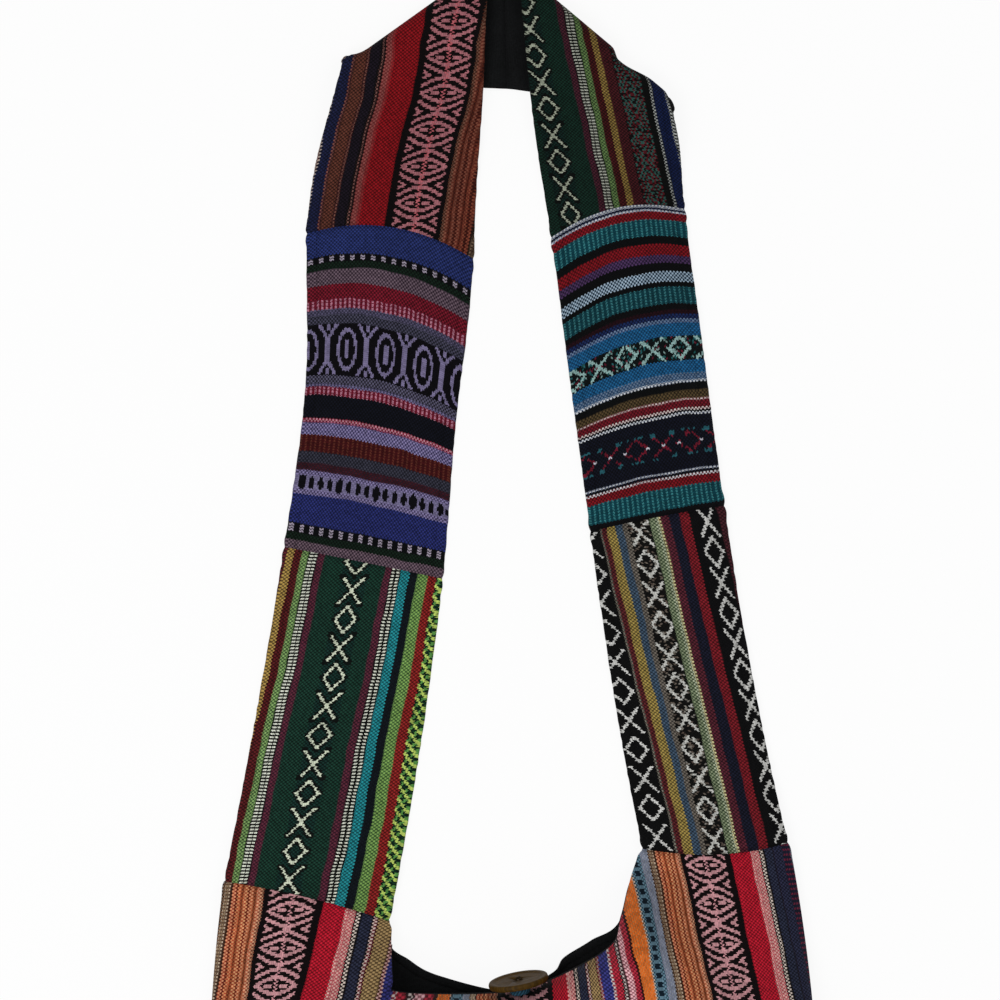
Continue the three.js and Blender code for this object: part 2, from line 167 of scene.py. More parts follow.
def along(values, share):
    """Values of an evenly spaced list at shares from 0 to 1, on a smooth curve through its entries."""
    values = np.asarray(values, float)
    place = (len(values) - 1) * np.clip(np.asarray(share, float), 0, 1)
    at = np.minimum(np.floor(place).astype(int), len(values) - 1)
    w = place - at
    if values.ndim > 1:
        w = w[..., None]
    before, here = values[np.maximum(at - 1, 0)], values[at]
    after, last = values[np.minimum(at + 1, len(values) - 1)], values[np.minimum(at + 2, len(values) - 1)]
    v0, v1 = (after - before) / 2, (last - here) / 2
    bend = 2 * here - 2 * after + v0 + v1
    return bend * w**3 + (3 * after - 3 * here - 2 * v0 - v1) * w**2 + v0 * w + here


def noise(x, y, seed):
    """Smooth noise from -1 to 1 that repeats after 64 steps."""
    count = 64
    table = np.random.default_rng(seed).uniform(-1, 1, (count, count))
    i, j = np.floor(x).astype(int), np.floor(y).astype(int)
    a, b = smooth(x - i), smooth(y - j)

    def corner(right, up):
        return table[(i + right) % count, (j + up) % count]

    return mix(mix(corner(0, 0), corner(1, 0), a), mix(corner(0, 1), corner(1, 1), a), b)


def unit(v):
    return v / np.maximum(np.linalg.norm(v, axis=-1, keepdims=True), 1e-9)


def distance_run(points):
    """Distance of each point of a line, or of each column of a grid, from the first one."""
    steps = np.linalg.norm(np.diff(points, axis=0), axis=-1)
    return np.concatenate([np.zeros_like(steps[:1]), np.cumsum(steps, 0)])


def by_length(points):
    """A function that gives points at shares of a line's length."""
    run = distance_run(points)

    def at(share):
        where = np.clip(share, 0, 1) * run[-1]
        return np.stack([np.interp(where, run, column) for column in points.T], axis=-1)

    return at


def walk(leg):
    """A table of the middle of a leg's band: s counts patches from the body, up to 3 at the fold."""
    steps = 64
    s = np.arange(3 * steps + 1) / steps
    middle = (s[1:] + s[:-1]) / 2
    heading = np.radians(along(leg["headings"], middle / 3))
    length = np.array(leg["lengths"])[np.minimum(middle.astype(int), 2)] / steps
    moves = np.stack([np.cos(heading), np.sin(heading)], 1) * length[:, None]
    return s, np.concatenate([[leg["foot"]], np.asarray(leg["foot"]) + np.cumsum(moves, 0)])


for each in (LEFT, RIGHT):
    each["table"] = walk(each)


def row_at(leg, s):
    """Ends of the band's cross lines at s, and the ways that the band and the lines run there."""
    s = np.asarray(s, float)
    heading = np.radians(along(leg["headings"], s / 3))
    slant = np.radians(along(leg["slants"], s / 3))
    ahead = np.stack([np.cos(heading), np.sin(heading)], -1)
    inward = np.stack([ahead[..., 1], -ahead[..., 0]], -1) * leg["side"]
    across = inward * np.cos(slant)[..., None] - ahead * np.sin(slant)[..., None]
    half = (STRAP_WIDTH * along(leg["spans"], s / 3) / 2 / np.cos(slant))[..., None]
    known, places = leg["table"]
    centre = np.stack([np.interp(s, known, places[:, k]) for k in (0, 1)], -1)
    return ahead, across, centre - across * half, centre + across * half


def lift_at(s):
    over_panel = (CLOTH + STACK - FLOOR_LEVEL) * (1 - smooth(s / FOOT_RUN))
    return FLOOR_LEVEL + over_panel + (FOLD_TOP - FLOOR_LEVEL) * smooth((s - 3 + FOLD_RUN) / FOLD_RUN)


def arch_at(leg, s, q):
    return along(leg["arches"], s / 3) * np.sin(np.pi * np.clip(q, 0, 1) ** CROWN_SHIFT)


def fold_at(leg):
    """The way that the band runs at its fold, the fold line's two ends, and the way square out of it."""
    ahead, across, outer, inner = row_at(leg, 3.0)
    return ahead, outer, inner, unit(ahead - across * (ahead @ across))


FOLDS = {leg["side"]: fold_at(leg) for leg in (LEFT, RIGHT)}
CENTRE_LINE = [(FOLDS[1][k] + FOLDS[-1][k]) / 2 + np.array([0, MIDDLE_RISE]) for k in (1, 2)]


def strap_point(leg, s, q):
    """Inner side of the patches. s 0 to 3 is the leg, 3 to 4 the fold and 4 to 5 the part under it."""
    s, q = np.broadcast_arrays(np.asarray(s, float), np.clip(q, 0, 1))
    on_leg = np.minimum(s, 3)
    ahead, _, outer, inner = row_at(leg, on_leg)
    bow = along(leg["bows"], on_leg / 3) * 4 * q * (1 - q)
    plan = mix(outer, inner, q[..., None]) + ahead * bow[..., None]
    point = np.concatenate([plan, (lift_at(on_leg) + arch_at(leg, on_leg, q))[..., None]], -1)
    _, outer, inner, outward = FOLDS[leg["side"]]
    line = mix(outer, inner, q[..., None])
    turn = np.pi * np.clip(s - 3, 0, 1)
    near = np.clip(1 - q / ROUND_SHARE, 0, 1)
    rolled = line + outward * (FOLD_RADIUS * (1 - near**2) * np.sin(turn))[..., None]
    rolled = np.concatenate([rolled, (FOLD_TOP - FOLD_RADIUS * (1 - np.cos(turn)))[..., None]], -1)
    under = mix(line, mix(CENTRE_LINE[0], CENTRE_LINE[1], q[..., None]), np.clip(s - 4, 0, 1)[..., None])
    under = np.concatenate([under, np.full(s.shape + (1,), CLOTH)], -1)
    point = np.where((s > 3)[..., None], rolled, point)
    point = np.where((s > 4)[..., None], under, point)
    return point + fold_bend(leg, s, q)


def fold_bend(leg, s, q):
    """How the fold departs from a straight one: its corner is pushed ahead, or it has a crease."""
    ahead, _, _, outward = FOLDS[leg["side"]]
    fade = 1 - smooth((s - 4) / 0.6)
    push = leg["push"] * np.clip(1 - q / PUSH_SHARE, 0, 1) ** 2 * smooth((s - 2.5) / 0.5) * fade
    crease = leg["crease"] * smooth((q - 0.18) / 0.18) * smooth((0.45 - q) / 0.07)
    crease = crease * smooth((s - 2.88) / 0.12) * fade
    plan = ahead * push[..., None] - outward * crease[..., None]
    return np.concatenate([plan, np.zeros(plan.shape[:-1] + (1,))], -1)


FEET = {leg["side"]: row_at(leg, 0.0) for leg in (LEFT, RIGHT)}


def outline():
    """The body's edge, from the left seam's outer end round the bottom to the right one's."""
    left, right = BODY_MIDDLE - BODY_WIDTH / 2, BODY_MIDDLE + BODY_WIDTH / 2
    t = np.linspace(0, 1, 60)[:, None]

    def curve(a, b, c):
        return (1 - t) ** 2 * np.array(a) + 2 * t * (1 - t) * np.array(b) + t**2 * np.array(c)

    def arc(x, start):
        angle = np.pi * (start + t / 2)
        return np.concatenate([x + CORNER * np.cos(angle), BODY_BOTTOM + CORNER * (1 + np.sin(angle))], 1)

    a, b = FEET[1][2], FEET[-1][2]
    start = curve(a, (left, a[1] - WIDEST_DROP / 2), (left, a[1] - WIDEST_DROP))
    end = curve((right, b[1] - WIDEST_DROP), (right, b[1] - WIDEST_DROP / 2), b)
    return by_length(np.concatenate([start, arc(left + CORNER, 1), arc(right - CORNER, 1.5), end]))


def mouth(points):
    points = [FEET[1][3], *np.array(points, float), FEET[-1][3]]
    return by_length(along(points, np.linspace(0, 1, 600)))


OUTLINE = outline()
FRONT_EDGE = mouth(FRONT_MOUTH)
BACK_EDGE = mouth(BACK_MOUTH)


def body_plan(edge, t, share):
    """Plan of a panel: t runs from the left seam round to the right one, share from mouth to outline."""
    t, share = np.broadcast_arrays(np.clip(t, 0, 1), np.clip(share, 0, 1))
    near, rim = edge(t), OUTLINE(t)
    blend = smooth(t / EAR_SHARE) * smooth((1 - t) / EAR_SHARE)
    left = (t < 0.5)[..., None]
    ahead = np.where(left, FEET[1][0], FEET[-1][0])
    bow = np.where(t < 0.5, LEFT["bows"][0], RIGHT["bows"][0]) * 4 * share * (1 - share) * (1 - blend)
    plan = mix(near, rim, share[..., None]) + ahead * bow[..., None]
    foot = lift_at(0.0) + np.where(t < 0.5, arch_at(LEFT, 0.0, 1 - share), arch_at(RIGHT, 0.0, 1 - share))
    return plan, blend, np.linalg.norm(near - rim, axis=-1), foot, share


def front_point(t, share):
    plan, blend, reach, foot, share = body_plan(FRONT_EDGE, t, share)
    seam = CLOTH + SIDE_SEAM + STACK
    fall = np.abs(share - CROWN_SHARE) / (1 - CROWN_SHARE)
    dome = seam + (CROWN_HEIGHT - seam) * (1 - fall**DOME_FULLNESS) ** DOME_SHOULDER
    wall = 1 - (1 - np.minimum(share * reach / WALL_WIDTH, 1)) ** 2
    height = HEM_HEIGHT + (dome - HEM_HEIGHT) * np.sqrt(wall)
    return np.concatenate([plan, mix(foot, height, blend)[..., None]], -1)


def back_point(t, share):
    plan, blend, reach, foot, share = body_plan(BACK_EDGE, t, share)
    near_rim = np.clip(1 - (1 - share) * reach / SIDE_RISE, 0, 1)
    height = CLOTH + SIDE_SEAM * near_rim**2
    return np.concatenate([plan, mix(foot - STACK, height, blend)[..., None]], -1)


def normals(surface, a, b, flip):
    step = 1e-3
    da = surface(a + step, b) - surface(a - step, b)
    db = surface(a, b + step) - surface(a, b - step)
    return unit(np.cross(da, db)) * flip


def grid_faces(rows, columns):
    at = np.arange(rows * columns).reshape(rows, columns)
    return np.stack([at[:-1, :-1], at[1:, :-1], at[1:, 1:], at[:-1, 1:]], -1).reshape(-1, 4)


def make(name, points, faces, material, replaced=(), maps=None):
    """A smooth piece from points in millimetres, which rides with the bag."""
    mesh = bpy.data.meshes.new(name)
    placed = (np.asarray(points, float) + ORIGIN) / 1000
    mesh.from_pydata(placed.tolist(), [], [[int(at) for at in face] for face in faces])
    corners = np.zeros(len(mesh.loops), np.int32)
    mesh.loops.foreach_get("vertex_index", corners)
    for key, values in (maps or {}).items():
        layer = mesh.uv_layers.new(name=key)
        layer.data.foreach_set("uv", np.asarray(values, np.float32)[corners].ravel())
    mesh.polygons.foreach_set("use_smooth", np.ones(len(mesh.polygons), bool))
    mesh.materials.append(material)
    mesh.validate()
    mesh.update()
    piece = bpy.data.objects.new(name, mesh)
    bpy.context.scene.collection.objects.link(piece)
    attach(piece, "root")
    if replaced:
        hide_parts(*replaced)
    return piece


def sheet(name, points, outward, low, high, cloth, material, node):
    """A closed sheet of cloth between two offsets of a grid of points, with its own cloth coordinates."""
    rows, columns = points.shape[:2]
    count = rows * columns
    top = (points + outward * high).reshape(-1, 3)
    bottom = (points + outward * low).reshape(-1, 3)
    faces = grid_faces(rows, columns)
    a, b, c = top[faces[:, 0]], top[faces[:, 1]], top[faces[:, 2]]
    if (np.cross(b - a, c - a) * outward.reshape(-1, 3)[faces[:, 0]]).sum() < 0:
        faces = faces[:, ::-1]
    ring = np.concatenate([
        np.arange(columns),
        np.arange(1, rows) * columns + columns - 1,
        (rows - 1) * columns + np.arange(columns - 2, -1, -1),
        np.arange(rows - 2, 0, -1) * columns,
    ])
    after = np.roll(ring, -1)
    side = np.stack([ring, after, after + count, ring + count], -1)
    edges = {(int(f[k]), int(f[(k + 1) % 4])) for f in faces[: columns] for k in range(4)}
    if (int(ring[0]), int(ring[1])) in edges:
        side = side[:, ::-1]
    faces = np.concatenate([faces, faces[:, ::-1] + count, side])
    flat = cloth.reshape(count, -1)
    u, v = np.meshgrid(np.linspace(0, 1, columns), np.linspace(0, 1, rows))
    bake = np.stack([u, v], -1).reshape(-1, 2)
    # The outer side takes most of a baked picture, and the inner one a strip beside it
    maps = {
        "cloth": np.concatenate([flat[:, :2], flat[:, :2]]),
        "OFBake": np.concatenate([bake * (0.88, 0.98) + 0.01, bake * (0.08, 0.98) + (0.91, 0.01)]),
    }
    if flat.shape[1] > 2:
        maps["edge"] = np.concatenate([flat[:, 2:], flat[:, 2:]])
    return make(name, np.concatenate([top, bottom]), faces, material, [node], maps)


def ring_faces(rings, sides):
    """Point numbers of a row of rings, those next to them, and the faces between the rings."""
    at = np.arange(rings * sides).reshape(rings, sides)
    beside = np.roll(at, -1, 1)
    return at, beside, np.stack([at[:-1], at[1:], beside[1:], beside[:-1]], -1).reshape(-1, 4).tolist()


def tube(name, centres, wide, tall, sides, material, node):
    """A closed oval tube through a row of centres."""
    angle = 2 * np.pi * np.arange(sides)[:, None] / sides
    points = (centres[:, None] + wide[:, None] * np.cos(angle) + tall[:, None] * np.sin(angle)).reshape(-1, 3)
    at, beside, faces = ring_faces(len(centres), sides)
    faces += [[len(points), a, b] for a, b in zip(at[0], beside[0])]
    faces += [[len(points) + 1, b, a] for a, b in zip(at[-1], beside[-1])]
    if (points[at[:-1]] * np.cross(points[at[1:]], points[beside[1:]])).sum() < 0:
        faces = [face[::-1] for face in faces]
    run = distance_run(centres)
    girth = np.linspace(0, 2 * np.pi * np.linalg.norm(wide[0]), sides)
    flat = np.stack(np.broadcast_arrays(girth[None, :], run[:, None]), -1).reshape(-1, 2)
    flat = np.concatenate([flat, [[0, 0], [0, run[-1]]]])
    points = np.concatenate([points, centres[:1], centres[-1:]])
    return make(name, points, faces, material, [node] if node else (), {"cloth": flat})


# Materials. Cloth coordinates are in pixels of the photograph: u across the stripes, v along them.
PIXEL = 0.6
YARN = 2.05
PIP = 3.5
STITCH_INSET = 6.5

# Part of the body's cloth shows the stripes that lie SELVAGE_MOVE before it, instead of its repeat
SELVAGE_LOW, SELVAGE_HIGH, SELVAGE_MOVE = 557, 581, 424

# How the second colour of a stripe lies on its first: kind, pitch and share of the pitch. Kind 1 has deep
# pips, 0.5 has yarns in turn, 0 has marks side by side, and 0.2 has the same in dots.
LONGEST_PITCH = 20
LIES = {
    "plain": (1, PIP, 0),
    "twill": (1, PIP, 0.45),
    "twist": (0.5, PIP, 0.5),
    "ladder": (0, 3.3, 0.5),
    "dots": (0, 8.6, 0.62),
    "dashes": (0.2, 10.1, 0.42),
    "rungs": (0.2, 4.9, 0.4),
    "specks": (0, 4.6, 0.45),
}

# Stripes: width, lie, first colour and second colour, or width and colour
RED_STRIPES = """
15 twill d0601c e88a48; 2 twist c8b8a8 3a2018; 4 twill 5c7a8a 33505f; 6 dots 5c7a8a 0a1a26
4 twill 5c7a8a 33505f; 9 twill 6e7488 a2a8b4; 1.5 twist 2c1c14 8c7058; 2 twist c8b49c 6a4a34
2 twist 5a4434 9c8468; 2 twist c8b49c 5a3c2c; 1.5 3a2418; 3.4 twist a4402c dc946c; 2.6 twist 5c1a14 94482c
3.4 twist b0482e dc9464; 2.6 twist 5c2018 9c5430; 3.6 twist a8482e dc9c6c; 2.6 twist 641e16 984c2c
3.4 twist a85030 d8946c; 2.6 twist 542016 905030; 3.4 twist b4583c dca07c; 2.4 twist 74382a c09070; 5 0c0507
46 0e0607; 6 0c0507; 22 twill ba1a2e 8c0f20; 3 twist c05058 e8b8b0; 6.5 twist dca8a0 b45058; 1.7 12090a
3 twist 120a0a e0d0c4; 1.8 0e090c; 9 twill 2a2e42 181c2c; 1 140c10; 3 twist d8c0b8 6a1c28; 1 3a1018
11 twill a0855a 6a5436; 1 3a1c14; 2 twist d0a8a0 6a1c28; 9 twill 3a3c84 262860; 3 twist e0d0cc 8a3040
6 twill b42a3c 861c2c; 1.4 2c1214; 2.2 twist 3a2a2c d0c0bc; 1.4 3a2224; 6 twill dcaab0 b06a74
6 twill ac2a3c 7c1a2a; 3 2c1412; 9 twill 2a2c44 1a1c2e; 9 rungs 181a2c 6c2038; 6 twill 8c8e9c 5c5e6c
"""
# Stripes of the red cloth in darker colours for the upper left patch: painted shade.
SHADED_RED_STRIPES = """
29 2a2428; 11 twill 484c5c 30343f; 1.5 twist 2c1c14 5c4838; 2 twist 86705c 4a3424; 2 twist 4a382c 6c5a44
2 twist 86705c 3c281c; 1.5 241610; 3.4 twist 6a2a1e 8c4a36; 2.6 twist 3a100c 5c2418; 3.4 twist 6c2a20 8e4e38
2.6 twist 3a100c 622a1c; 3.6 twist 6a2c20 8c5240; 2.6 twist 40120e 642e20; 3.4 twist 683022 885040
2.6 twist 38120e 602a1c; 3.4 twist 6a3024 8c5644; 2.4 twist 4a2418 785444; 5 0c0507; 46 0e0607; 6 0c0507
25 twill 96141c 6c0a12; 3 twist 9c3434 7a2024; 6 twist 9c5450 742c2c; 1.7 12090a; 2.5 twist 2a1214 8c6058
1.8 0e090c; 9 twill 1c1420 100c14; 1 140c10; 2 twist 8c5c50 3a1418; 1 2a1014; 11 twill 66382c 44241c
1 2a1418; 2 twist 84544c 4a1820; 10 twill 1e2244 141830; 2.5 twist c4b4a8 6a1c28; 9 twill 7c1c22 541218
36.5 2c1412
"""
GREEN_STRIPES = """
8 07090b; 3 twist 0a0c10 d8dcd8; 14 twill 182654 101a3c; 3 twist 0a0c10 c8ccc8; 7 0a0c0b; 27 150a0c
11 twill 561e24 361218; 6.5 twill a88a48 6c5630; 7.5 twill 561a1c 341010; 7.3 twill 7a9c5c 45603a; 1 0a0c0a
3.6 ladder 0a0c0a dce0d0; 1.2 0a0c0a; 3.6 ladder 0a0c0a dce0d0; 1 0a0c0a; 6.8 twill 582634 381828
20.5 twill 16382c 0c221a; 26 twill 12302a 0a1c18; 15 twill 16382c 0c221a; 7 twill 582634 381828; 1 0a0c0a
3.6 ladder 0a0c0a dce0d0; 1.2 0a0c0a; 3.6 ladder 0a0c0a dce0d0; 1 0a0c0a; 9 twill 22868e 145c64; 8 0c1218
11 twill 759a50 45683a; 8.6 twill 8c2422 5c1614; 26 twill 0e3020 081c12
"""
PURPLE_STRIPES = """
30 twill 314084 222d5d; 1 08080e; 6.5 dashes 08080e c8bcd0; 0.5 08080e; 7.5 twill 14281c 0a160f
17 twist 86707e 40303e; 15 twill 8c1c30 5c1020; 0.8 7c1830; 2.4 specks 7c1830 d890a8; 1.2 7c1830
2.4 specks 7c1830 d890a8; 1.2 7c1830; 2.3 specks 7c1830 d890a8; 6 twist 6a6484 3c3a50
10 twist 24252f 5a5870; 53 0b0810; 9 twist 2a2834 706c88; 2.5 twist 8c84b0 4c4868; 0.7 7c1830
2.2 specks 7c1830 d890a8; 1.2 7c1830; 2.2 specks 7c1830 d890a8; 1 7c1830; 1.7 specks 7c1830 d890a8
22.5 twill 10121f 090b13; 3 twist 9c1c3c e0a0b0; 2.5 twist 7a1430 c07090; 11.7 twist a498cc 4a4470
17.8 rungs 4a1014 70362a; 12 twill 40404f 292936; 8 twist 4c1a26 30202c; 5 twist a498cc 50486c
14 twist 9890ba 847ca4; 5 twist a498cc 50486c; 31 twill 313983 22295b; 1 08080e; 8 dashes 08080e c8bcd0
1 08080e; 8 twill 14281c 0a160f; 9 twist 8a7280 40303e
"""
TEAL_STRIPES = """
2.2 twist e8ecf0 8088a0; 3 0e142c; 2.2 twist e8ecf0 8088a0; 8.5 twill 86141f 5c0e16; 18 rungs 0b4652 3f8c92
8 08090c; 12 twill 8a141f 5e0e16; 8.5 twill 503660 302240; 9.5 08080b; 11 twist b4cce0 20384c; 5 06080b
17 rungs 0b3e48 3c8086; 7 0a090c; 4 240a14; 6 twill 1c2c5c 121c40; 3.5 twist 7890b0 28406c
13.5 twill 1f6496 174c78; 24 0a1214; 13.5 twill 1f6496 174c78; 7 twist 2a4a70 6c84a0
2.3 twist e8ecf0 6c7890; 7 080a0b; 9 twill 58482e 362c1c; 2.3 twist e8dcd8 804048; 7.4 twill 781a26 50101a
2.3 twist e8dcd8 804048; 2.3 08090e; 2.3 twist e8ecf0 606880; 53.4 twill 101322 090b14
2.3 twist e8ecf0 606880; 2.8 0a0c16; 2.3 twist e8ecf0 804048; 8.6 twill 86141f 5c0e16
20.8 rungs 0b4652 3f8c92; 6 0a090e
"""
BLACK_STRIPES = """
54 0a0a0b; 2.4 twist 8a8478 3c3a34; 5.6 twill 5c2226 3a1418; 8.5 twill a08a48 665830; 8 twill 42566a 2a3848
5.5 twist 7a7268 3c3834; 22 0e0d0c; 5.6 twist 3c4c34 8c9878; 3.4 twist 46543c b4bca0
2.2 twist dcd09c 5c5438; 8 twill 5a2430 381620; 10.5 twill 181a2c 0e101c; 10 twill 801c26 561218
28.3 09090b; 20 twill 4a2028 301218
"""


def srgb(text):
    """Linear colour of a hex one."""
    code = np.array([int(text[k : k + 2], 16) for k in (0, 2, 4)]) / 255
    return (*np.where(code <= 0.04045, code / 12.92, ((code + 0.055) / 1.055) ** 2.4).tolist(), 1)


class Num:
    """A number that a material works out at each point of its surface."""

    def __init__(self, net, socket):
        self.net, self.socket = net, socket

    def __rsub__(self, other):
        return self.net.math("SUBTRACT", other, self)

    def __abs__(self):
        return self.net.math("ABSOLUTE", self)

    def part(self):
        return self.net.math("FRACT", self)

    def cell(self, size):
        """Middle of the cell that this number falls in."""
        return (self.net.math("FLOOR", self / size) + 0.5) * size

    def away(self, period, phase):
        """Distance from the nearest of the places at phase, phase + period and so on."""
        return abs(((self - phase) / period + 0.5).part() - 0.5) * period


for sign, operation in {
    "add": "ADD", "sub": "SUBTRACT", "mul": "MULTIPLY", "truediv": "DIVIDE", "pow": "POWER",
    "lt": "LESS_THAN", "gt": "GREATER_THAN", "or": "MAXIMUM", "and": "MINIMUM",
}.items():
    setattr(Num, f"__{sign}__", lambda self, other, name=operation: self.net.math(name, self, other))


class Net:
    """The nodes of one material."""

    def __init__(self, name, roughness, specular=0.12):
        self.material = bpy.data.materials.new(name)
        self.material.use_nodes = True
        self.tree = self.material.node_tree
        self.shader = self.tree.nodes["Principled BSDF"]
        self.shader.inputs["Roughness"].default_value = roughness
        self.shader.inputs["Specular IOR Level"].default_value = specular

    def new(self, kind, **settings):
        node = self.tree.nodes.new("ShaderNode" + kind)
        for key, value in settings.items():
            setattr(node, key, value)
        return node

    def put(self, socket, value):
        if isinstance(value, Num):
            self.tree.links.new(value.socket, socket)
        else:
            socket.default_value = value

    def math(self, operation, *values):
        node = self.new("Math", operation=operation)
        for socket, value in zip(node.inputs, values):
            self.put(socket, value)
        return Num(self, node.outputs[0])

    def split(self, socket):
        node = self.new("SeparateXYZ")
        self.tree.links.new(socket, node.inputs[0])
        return [Num(self, node.outputs[k]) for k in range(3)]

    def join(self, x, y, z=0.0):
        node = self.new("CombineXYZ")
        for socket, value in zip(node.inputs, (x, y, z)):
            self.put(socket, value)
        return Num(self, node.outputs[0])

    def place(self, name):
        return self.split(self.new("UVMap", uv_map=name).outputs[0])[:2]

    def mix(self, share, a, b):
        node = self.new("Mix", data_type="RGBA")
        for key, value in ((0, share), (6, a), (7, b)):
            self.put(node.inputs[key], value)
        return Num(self, node.outputs[2])

    def scale(self, colour, factor):
        node = self.new("VectorMath", operation="SCALE")
        self.put(node.inputs[0], colour)
        self.put(node.inputs[3], factor)
        return Num(self, node.outputs[0])

    def speckle(self, x, y):
        node = self.new("TexWhiteNoise", noise_dimensions="2D")
        self.put(node.inputs["Vector"], self.join(x, y))
        return Num(self, node.outputs["Value"])

    def clouds(self, x, y, scale, detail=2.0):
        node = self.new("TexNoise", noise_dimensions="2D")
        self.put(node.inputs["Vector"], self.join(x, y))
        node.inputs["Scale"].default_value = scale
        node.inputs["Detail"].default_value = detail
        return Num(self, node.outputs["Fac"])

    def steps(self, place, end, stops):
        """A colour that changes at each of a row of places."""
        found = None
        starts = [start for start, _ in stops] + [end]
        for first in range(0, len(stops), 30):
            chunk = stops[first : first + 30]
            low, high = starts[first], starts[first + len(chunk)]
            node = self.new("ValToRGB")
            bands = node.color_ramp
            bands.interpolation = "CONSTANT"
            bands.elements.remove(bands.elements[1])
            for number, (start, value) in enumerate(chunk):
                share = (start - low) / (high - low)
                element = bands.elements[0] if number == 0 else bands.elements.new(share)
                element.position = share
                element.color = value
            self.put(node.inputs[0], (place - low) / (high - low))
            made = Num(self, node.outputs[0])
            found = made if found is None else self.mix(place > chunk[0][0], found, made)
        return found

    def bump(self, height, strength, distance):
        node = self.new("Bump")
        node.inputs["Strength"].default_value = strength
        node.inputs["Distance"].default_value = distance
        self.put(node.inputs["Height"], height)
        self.tree.links.new(node.outputs[0], self.shader.inputs["Normal"])

    def finish(self, colour):
        self.put(self.shader.inputs["Base Color"], colour)
        return self.material


# Motifs. Each gives masks and their colours at x and y, in pixels. a is the distance from its middle line,
# and b the distance from the nearest middle of its repeats.

def chain(net, x, y, a, b, repeat, wide, tall, stroke, colour, halo=None):
    """Crosses and diamonds in turn, with dark yarns around them where a halo's colour is given."""
    c = repeat / 2 - b

    def lines(half):
        diamond = abs(a / wide + b / tall - 1) < half / wide
        cross = (abs(a - c * (wide / tall)) < half) & (c < tall + half - 1)
        return (diamond | cross) & (a < wide + half - 0.5)

    strokes = [(lines(stroke), colour)]
    return [(lines(stroke + 3), halo), *strokes] if halo else strokes


def speckled_chain(net, x, y, a, b, repeat, wide, tall, stroke, half, colours):
    """The same, in yarns of several colours, on a ground with stray specks."""
    strokes = chain(net, x, y, a, b, repeat, wide, tall, stroke, colours[0])[0][0]
    seed = net.speckle(x, y)
    found = [((seed < 0.07 * number + 0.07) & (seed > 0.07 * number) & (a < half), colour)
             for number, colour in enumerate(colours[1:])]
    return [*found, (strokes & (seed < 0.93), colours[0])]


def eyes(net, x, y, a, b, repeat, half, colour, core):
    """Pairs of eyes either side of a line, with slanting strokes between them."""
    level = b / (0.255 * repeat) + (a / half) ** 1.5
    rings = (abs(level - 0.88) < 0.19) | (abs(level - 1.74) < 0.19) | (abs(level - 2.55) < 0.15)
    pupils = (abs(a - 8.4) < 3.6) & (b < 1.8)
    spine = (a < 2) & (((x + y) / 3.8).part() < 0.5)
    return [((rings | pupils) & (a < half), colour), (spine, core)]


def ovals(net, x, y, a, b, repeat, colour):
    """Tall ovals with a dash in each, and forked stems between them."""
    c = repeat / 2 - b
    ring = abs((b / 10) ** 1.7 + (a / 22) ** 2.2 - 0.85) < 0.2
    dash = (b < 2.3) & (a < 9)
    stem = (c < 2.6) & (a < 12)
    fork = (abs(c - (a - 11) * 0.62) < 1.8) & (a > 11)
    tip = (c < 2) & (a > 19)
    return [((ring | dash | stem | fork | tip) & (a < 25), colour)]


def holes(net, x, y, a, b, repeat, phase, colour):
    """Small upright ovals, of which every fourth is bigger."""
    grow = (y.away(4 * repeat, phase) < repeat / 2) * 1.2
    return [(((b / (grow + 2.9)) ** 2 + (a / (grow + 6.4)) ** 2) < 1, colour)]


def nested(net, x, y, a, b, repeat, half, colours):
    """Thin diamonds inside diamonds, in worn yarns."""
    rings = ((a / half + b / (repeat / 2)) * 3.2 + 0.4).part()
    worn = (net.speckle(x, y) > 0.2) & (a < half + 1)
    return [((rings < 0.4) & worn, colours[0]), ((rings > 0.62) & worn, colours[1])]


def knots(net, x, y, a, b, repeat, colours):
    """Sparse crosses and rings: white knots, dark red arms and dim dashes."""
    c = repeat / 2 - b
    worn = net.speckle(x, y) > 0.3
    arms = (abs(a - b) < 1.6) & (a < 9)
    ring = abs(c / 12 + a / 10 - 1) < 0.17
    dashes = ((abs(a - 12.5) < 1.4) & (abs(c - 4) < 4)) | ((abs(a - 11.5) < 1.4) & (abs(b - 10) < 3))
    white = ((b < 2) | (abs(c - 11) < 2)) & (a < 2)
    return [((arms | ring) & worn, colours[0]), (dashes & worn, colours[1]), (white, colours[2])]


def lattice(net, x, y, a, b, repeat, low, colours):
    """Crossing slanting stitches in two colours, from one place outwards."""
    return [((((x + y * lean) / repeat).part() < 0.34) & (x > low), colour)
            for lean, colour in zip((0.8, -0.8), colours)]


def stripe_table(text):
    """Widths, lies, first colours and second colours of the stripes."""
    found = []
    for entry in text.replace("\n", ";").strip(";").split(";"):
        width, *rest = entry.split()
        found.append((float(width), *(rest if len(rest) == 3 else ("plain", *rest, *rest))))
    return zip(*found)


